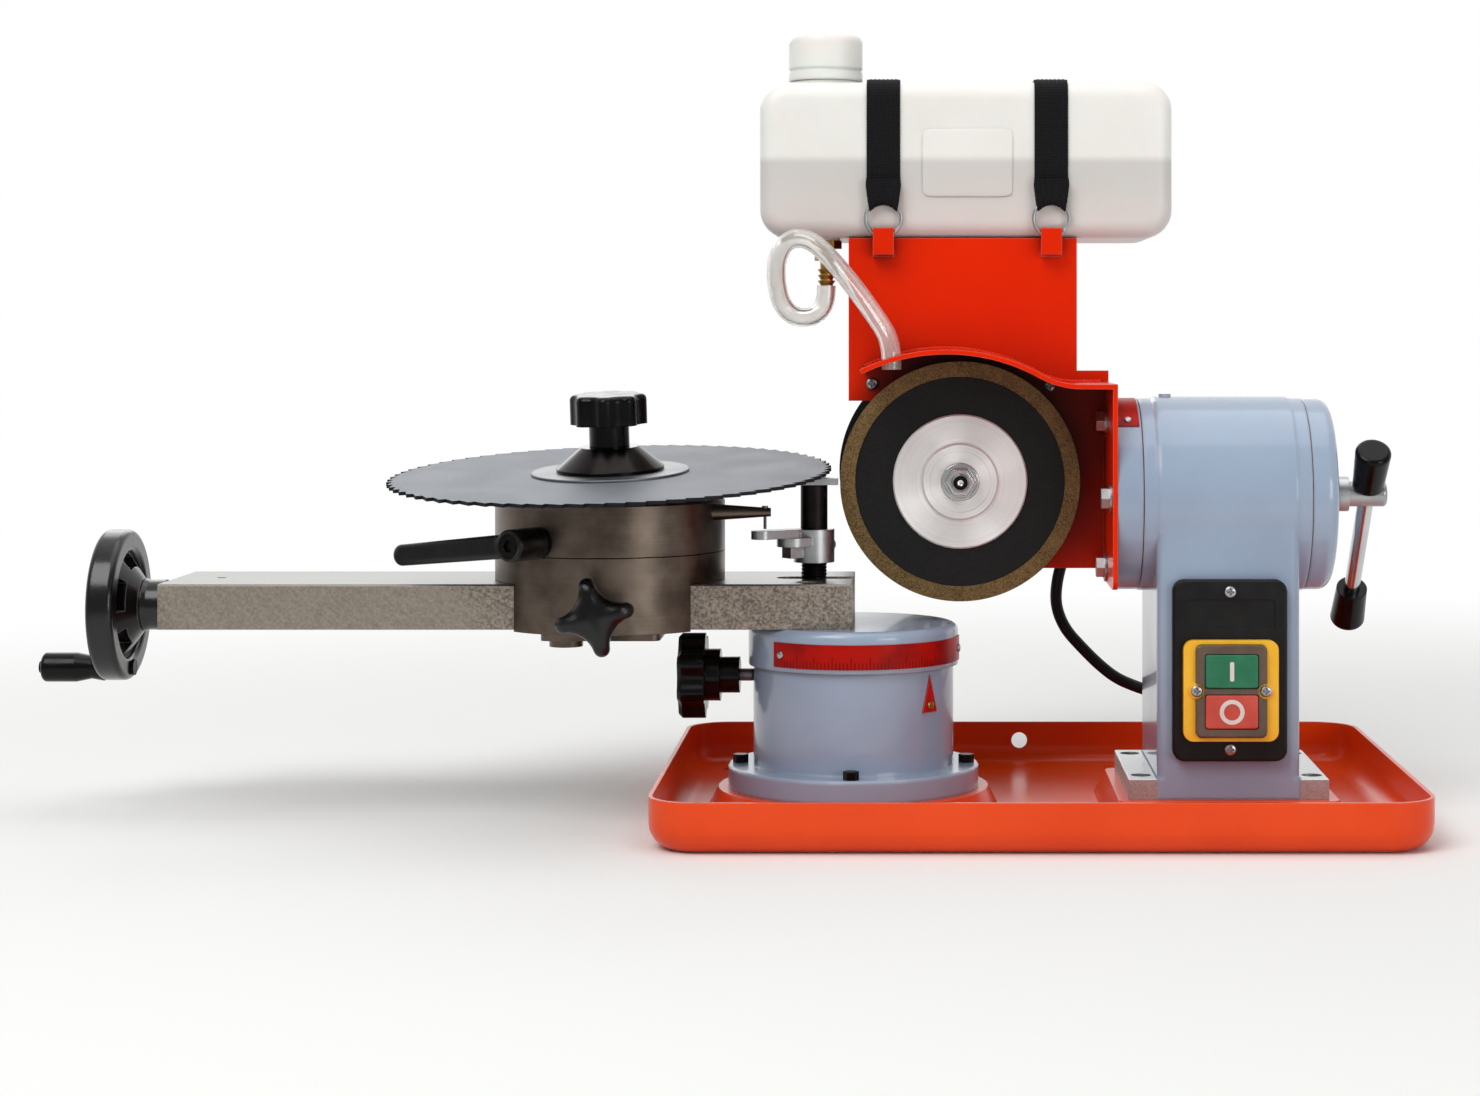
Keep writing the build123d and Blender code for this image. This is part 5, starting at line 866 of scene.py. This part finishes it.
for number, corner in enumerate(((-1, -1), (-1, 1), (1, 1), (1, -1))):
    screws[f"lid_screw_{number}"] = ((lid_x, *(LID_MIDDLE + LID_HALF_PITCH * corner)), *LID_HEAD)
for name, screw in screws.items():
    cross_screw(name, *screw)

# %% Rivets of the scales, and the pointer's screw
def round_z(angle_deg, radius):
    """A place on the turntable's side, and the directions right and up seen from outside."""
    turn = np.radians(angle_deg)
    place = (turn_centre[0] + radius * np.cos(turn), turn_centre[1] + radius * np.sin(turn))
    return place, (-np.sin(turn), np.cos(turn), 0)


turn_r = turn_centre[1] - turn_low.y
rivet_z = middle_mm("turntable_scale")[2]
for name, angle in (("scale_rivet_left", -131.0), ("scale_rivet_right", -9.0)):
    place, right = round_z(angle, turn_r)
    cross_screw(name, (*place, rivet_z), right, UP, 2.0, 1.1, "turntable", 0.0)
POINTER_DEG, POINTER_R, POINTER_Z = -41.0, 52.6, 59.4
place, right = round_z(POINTER_DEG, POINTER_R)
cross_screw("pointer_screw", (*place, POINTER_Z), right, UP, 2.2, 1.3, "base", 0.3, (brass, "brass"))
tilt_r = tilt_high.z - TILT_AXIS[1]
tilt_x = middle_mm("tilt_scale")[0]
for name, angle in (("tilt_rivet_front", 128.0), ("tilt_rivet_back", 52.0)):
    across, rise = np.cos(np.radians(angle)), np.sin(np.radians(angle))
    place = (tilt_x, TILT_AXIS[0] + tilt_r * across, TILT_AXIS[1] + tilt_r * rise)
    cross_screw(name, place, RIGHT, (0, rise, -across), 1.9, 1.1, "head", 0.0)

# %% Marks on the buttons, and the tank's panel
def around(axis, centre, across, up, along):
    """A grid in metres: across and up from centre, square to the axis, and along on the axis."""
    first, second, third = {"X": (1, 2, 0), "Y": (0, 2, 1), "Z": (0, 1, 2)}[axis]
    grid = np.empty((*across.shape, 3))
    grid[:, :, first] = centre[0] + across
    grid[:, :, second] = centre[1] + up
    grid[:, :, third] = along
    return grid * MM


def raised_pad(name, centre, rows, power, body, material, slot):
    """Outlines x = a sgn(cos) |cos|^power, z = b sgn(sin) |sin|^power at each row (a, b, y), closed."""
    turn = full_turn(96)
    wide, high, y = np.array(rows).T[:, :, None]
    across = wide * np.sign(np.cos(turn)) * abs(np.cos(turn)) ** power
    up = high * np.sign(np.sin(turn)) * abs(np.sin(turn)) ** power
    return piece(name, around("Y", centre, across, up, y), body, material, slot, wrap_rows=True)


PRINT_BACK, PRINT_FRONT = 0.05, -0.12


def button_mark(name, button, outer, inner, power, body):
    """A printed pad between two outlines, a little sunk in; an inner outline of size 0 fills it."""
    face = box_mm(button)[0].y
    back, front = face + PRINT_BACK, face + PRINT_FRONT
    rows = [(*outer, back), (*outer, front), (*inner, front), (*inner, back)]
    return raised_pad(name, middle_mm(button)[::2], rows, power, body, white_abs, "white_polyethylene")


button_mark("on_mark", "start_button", (1.05, 4.8), (0.0, 0.0), 0.25, "start")
button_mark("off_mark", "stop_button", (6.2, 6.2), (4.1, 4.1), 1.0, "stop")

PANEL_CENTRE, PANEL_HALF = (-33.3, 338.6), np.array([21.9, 16.05])
PANEL_EDGE = ((1.7, 0.06), (1.5, -0.02), (0.6, -0.1), (-0.4, -0.18), (-1.4, -0.21))
panel_rows = [(*(PANEL_HALF + grow), tank_front + rise) for grow, rise in PANEL_EDGE]
panel_rows += [(0.0, 0.0, tank_front + PANEL_EDGE[end][1]) for end in (-1, 0)]
raised_pad("tank_panel", PANEL_CENTRE, panel_rows, 0.16, "head", white_panel, "white_polyethylene")

# %% [markdown]
# ## The stop's screw thread
# The tooth stop is screwed into a slot of the bar, and its thread shows under the collar. A thread
# is a cylinder whose radius rises and falls once for each pitch of height plus a turn: a triangle
# wave of height / pitch - angle / full turn.

# %% Thread
def thread(name, axis, centre_mm, span_mm, root_mm, depth_mm, pitch_mm, body, material, slot):
    """radius = root + depth * triangle(height / pitch - angle / full turn); both ends close in."""
    height = np.linspace(*span_mm, int((span_mm[1] - span_mm[0]) / pitch_mm * 12))[:, None]
    turn = full_turn(48)[None, :]
    phase = (height / pitch_mm - turn / (2 * np.pi)) % 1.0
    radius = root_mm + depth_mm * (1 - abs(2 * phase - 1))
    radius[[0, -1]] = root_mm - 0.2
    grid = around(axis, centre_mm, radius * np.cos(turn), radius * np.sin(turn), height)
    return piece(name, grid, body, material, slot)


LOCK_AXIS, LOCK_SPAN = (-12.0, 71.0), (-151.9, -145.4)
stop_axis = middle_mm("stop_post")[:2]
stop_span = (box_mm("guide_bar")[1].z + 0.2, box_mm("stop_collar")[0].z - 0.4)
thread(
    "stop_thread", "Z", stop_axis, stop_span, 6.22, 0.5, 1.75, "turntable",
    black_oxide, "black_oxide_steel",
)
thread("lock_thread", "X", LOCK_AXIS, LOCK_SPAN, 3.02, 0.4, 1.0, "turntable_lock", zinc, "zinc_steel")

# %% [markdown]
# ## The spindle's end, the star handle and the fan
# The spindle ends in front of its nut in a few turns of thread and a dark face with a bright
# centre hole, as a lathe leaves it. The saddle's handle is a moulded star with arms as round as a
# finger. A bevel on a flat star would leave its face flat, so the whole star is one surface: its
# outline, shrunk towards the middle as it rises, as a pillow is. Behind the slots of the motor's
# cover turns a moulded fan: a plate with a hub and eight straight blades, written as a height over
# the plate.

# %% Spindle end and star handle
def turned_about_y(name, centre, profile, body, material, slot):
    """A profile of (radius, y) carried round an axis along Y through centre (x, z)."""
    turn = full_turn(64)
    radius, y = np.array(profile).T[:, :, None]
    grid = around("Y", centre, radius * np.cos(turn), radius * np.sin(turn), y)
    return piece(name, grid, body, material, slot)


tip_y = box_mm("motor_shaft")[0].y
spindle = middle_mm("motor_shaft")[::2]
HOLE = ((0.0, -0.06), (1.5, -0.8))
FACE = ((1.5, -0.8), (2.9, -0.8), (4.05, 0.3), (4.05, 0.8))
hole, face = ([(radius, tip_y + y) for radius, y in profile] for profile in (HOLE, FACE))
turned_about_y("spindle_centre", spindle, hole, "wheel", bright_nut, "zinc_steel")
turned_about_y("spindle_end", spindle, face, "wheel", black_oxide, "zinc_steel")
thread_span = (tip_y + 0.5, tip_y + 2.9)
thread("spindle_thread", "Y", spindle, thread_span, 3.96, 0.45, 1.25, "wheel", zinc, "zinc_steel")

STAR_TURN = np.radians(13.5)
LOBE_AT, LOBE_R, LOBE_END = 16.0, 4.0, np.radians(13.47)
HOLLOW_AT, HOLLOW_R = 26.19, 14.69


def star_outline(turn):
    """Radius at each angle: four round lobes of LOBE_R, joined by hollow arcs of HOLLOW_R."""
    quarter = np.pi / 2
    off = abs((turn - STAR_TURN + quarter / 2) % quarter - quarter / 2)
    lobe = LOBE_AT * np.cos(off) + np.sqrt(np.maximum(LOBE_R**2 - (LOBE_AT * np.sin(off)) ** 2, 0))
    back = quarter / 2 - off
    hollow = HOLLOW_AT * np.cos(back)
    hollow = hollow - np.sqrt(np.maximum(HOLLOW_R**2 - (HOLLOW_AT * np.sin(back)) ** 2, 0))
    return np.where(off < LOBE_END, lobe, hollow)


RIM_BEHIND, BACK_BEHIND, SEAT_BEHIND, BOSS_R = 8.0, 13.0, 21.7, 8.0


def star_handle():
    """A pillow on the star: radius = outline * sin^0.7, y = rim - rise * cos^0.7; then a round boss."""
    x, _, z = middle_mm("star_knob")
    front = box_mm("star_knob")[0].y
    rim, back, seat_face = front + RIM_BEHIND, front + BACK_BEHIND, front + SEAT_BEHIND
    turn = full_turn(192)
    lean = np.linspace(0, 0.82 * np.pi, 40)
    spread = np.sin(lean) ** 0.7
    rise = np.sign(np.cos(lean)) * abs(np.cos(lean)) ** 0.7
    y = np.where(rise > 0, rim - (rim - front) * rise, rim - (back - rim) * rise)
    y = np.r_[y, back - 0.5, seat_face, seat_face][:, None]
    boss = np.outer((BOSS_R, BOSS_R, 0.0), np.ones_like(turn))
    radius = np.vstack([spread[:, None] * star_outline(turn), boss])
    grid = around("Y", (x, z), radius * np.cos(turn), radius * np.sin(turn), y)
    made = piece("star_handle", grid, "saddle_lock", round_phenolic, "black_plastic")
    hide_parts("star_knob")
    return made


star_handle()

# %% The motor's fan
FAN_BLADES, BLADE_HALF = 8, 1.0
FAN_INSIDE = 22.6
FAN_PROFILE = np.array([
    (0.0, 0.0, 0.0), (54.0, 0.0, 0.0), (54.0, 2.0, 0.0), (52.1, 2.0, 0.0), (52.0, 2.0, 11.0),
    (16.0, 2.0, 12.5), (15.9, 2.0, 0.0), (11.0, 2.0, 0.0), (10.0, 6.0, 0.0), (0.0, 6.0, 0.0),
])


def motor_fan():
    """Rows of (radius, plate, blade): y = plate, plus blade within BLADE_HALF of a blade's middle."""
    radius, plate, blade = FAN_PROFILE.T[:, :, None]
    pitch = 2 * np.pi / FAN_BLADES
    half = np.arcsin(BLADE_HALF / np.maximum(radius, 10.0))
    gap = 1.05 * half + np.linspace(0, 1, 7)[1:-1] * (pitch - 2.1 * half)
    offsets = np.hstack([half * [-1.05, -1.0, 1.0, 1.05], gap])
    turn = np.hstack([offsets + pitch * number for number in range(FAN_BLADES)])
    tall = np.tile([0, 1, 1, 0, 0, 0, 0, 0, 0], FAN_BLADES)
    y = box_mm("motor_fan_cover")[0].y + FAN_INSIDE + plate + blade * tall
    centre = middle_mm("motor_fan_cover")[::2]
    grid = around("Y", centre, radius * np.cos(turn), radius * np.sin(turn), y)
    return piece("motor_fan", grid, "wheel", matt_black, "black_plastic")


motor_fan()

# %% [markdown]
# ## The hood's weld
# The hood's curved top is welded to its back plate from above, and the painted bead shows as a low
# ridge along the arc. It is a tube half sunk in the corner, along the top's own line: an arc, a
# hollow arc and a flat. The welder's steps make its radius rise and fall every 2 mm.

# %% Weld bead
CROWN_MIDDLE, CROWN_R, CROWN_START_DEG, CROWN_END_X = (-45.0, 140.5), 100.0, 115.2, 3.5
SWEEP_R, FLAT_END_X = 40.0, 37.0
WELD_Y, WELD_R, RIPPLE, RIPPLE_PITCH = 7.6, 1.5, 0.16, 2.0


def weld_line():
    """(x, z) along the hood's top from left to right: the crown, the hollow sweep and the flat."""
    end = np.degrees(np.arccos((CROWN_END_X - CROWN_MIDDLE[0]) / CROWN_R))
    aim = np.array([np.cos(np.radians(end)), np.sin(np.radians(end))])
    sweep = CROWN_MIDDLE + (CROWN_R + SWEEP_R) * aim
    flat = sweep[1] - SWEEP_R
    runs = [
        corner_arc(*CROWN_MIDDLE, CROWN_R, CROWN_START_DEG, end, 60),
        corner_arc(*sweep, SWEEP_R, 180 + end + 2, 270, 20),
        np.linspace([sweep[0] + 1, flat], [FLAT_END_X, flat], 10),
    ]
    return np.concatenate(runs)


weld_path, weld_run = evenly(weld_line(), 0.4)
ripple = RIPPLE * np.cos(2 * np.pi * weld_run / RIPPLE_PITCH) * (1 + 0.4 * np.sin(weld_run / 3.1))
weld_r = (WELD_R + ripple)[:, None, None] * MM
weld_at = np.insert(weld_path, 1, WELD_Y, axis=1) * MM
bead = tube_grid(weld_at, BACK, weld_r, 16)
piece("hood_weld", bead, "head", red_hood, "orange_paint", caps=True)

# %% [markdown]
# ## Floor and light
# The machine stands on a pale floor that goes over into white, as on a studio sweep. Near the
# machine the floor is plain matt and takes its shadow, and far out it turns to white for the eye
# and for reflections. A broad soft lamp at the upper left, a weaker one at the right and a soft
# overhead one add to an even white surround, so that a colour shows about as it is written. In
# reflections the surround is white behind the machine and dimmer in front of it, as in a studio.

# %% Floor
def mirrored_level(add, toward_y):
    """How bright the surround is in reflections: 1 behind the machine, 0.3 in front of it."""
    return add("MapRange", (toward_y, -0.5, 0.6, 0.3, 1.0), **SMOOTH)


def seen_plainly(add, rays):
    """1 for rays from the eye and rays through glass."""
    eye, glass = rays.outputs["Is Camera Ray"], rays.outputs["Is Transmission Ray"]
    return add("Math MAXIMUM", (eye, glass))


def floor_material():
    """Pale matt floor that turns to the surround's white with distance, in sight and reflections."""
    material, add, shader, place, _ = finish(
        "pale_studio_floor", 0.0, Base_Color=linear("#F2F2F0"), Roughness=0.9
    )
    away = add("VectorMath LENGTH", (place,))
    far = add("MapRange", (away, 0.45, 1.3), **SMOOTH)
    rays = add("LightPath")
    plain = seen_plainly(add, rays)
    shown = add("Math MAXIMUM", (plain, rays.outputs["Is Glossy Ray"]))
    share = add("Math MULTIPLY", (far, shown))
    toward = add("VectorMath NORMALIZE", (place,))
    toward_y = add("SeparateXYZ", (toward,)).outputs["Y"]
    strength = add("Math MAXIMUM", (plain, mirrored_level(add, toward_y)))
    white = add("Emission", Color=(1, 1, 1, 1), Strength=strength)
    mix = add("MixShader", (share, shader, white))
    feed(material.node_tree.nodes["Material Output"], Surface=mix)
    return material


FLOOR_HALF = 12.0
floor_mesh = bpy.data.meshes.new("floor")
corner = FLOOR_HALF * np.array([[-1, -1, 0], [1, -1, 0], [1, 1, 0], [-1, 1, 0]])
floor_mesh.from_pydata(corner.tolist(), [], [[0, 1, 2, 3]])
floor_mesh.materials.append(floor_material())
floor = placed("floor", floor_mesh)

# %% World and lamps
world = bpy.data.worlds.new("white_surround")
bpy.context.scene.world = world
world.use_nodes = True
add = partial(node, world.node_tree)
rays = add("LightPath")
toward = add("SeparateXYZ", (add("TexCoord").outputs["Generated"],))
level = add(
    "Mix", {0: rays.outputs["Is Glossy Ray"], 2: 0.29, 3: mirrored_level(add, toward.outputs["Y"])}
)
strength = add("Math MAXIMUM", (seen_plainly(add, rays), level))
feed(world.node_tree.nodes["Background"], Color=(1, 1, 1, 1), Strength=strength)


def soft_lamp(name, place, target, size, watts):
    """A square area lamp at place that faces target; its -Z axis points there."""
    data = bpy.data.lights.new(name, "AREA")
    data.size = size
    data.energy = watts
    lamp = placed(name, data)
    lamp.location = place
    aim = Vector(target) - Vector(place)
    lamp.rotation_euler = aim.to_track_quat("-Z", "Y").to_euler()
    return lamp


MIDDLE = (-0.1, 0.0, 0.18)
soft_lamp("key_lamp", (-1.0, -1.5, 2.0), MIDDLE, 1.4, 33)
soft_lamp("fill_lamp", (1.3, -1.75, 0.45), MIDDLE, 0.8, 9)
soft_lamp("top_lamp", (0.1, 0.0, 2.2), MIDDLE, 2.2, 19)
soft_lamp("back_lamp", (-0.6, 2.0, 1.3), MIDDLE, 1.4, 10)
bpy.context.scene.view_settings.view_transform = "Standard"
print("lamps: 4")
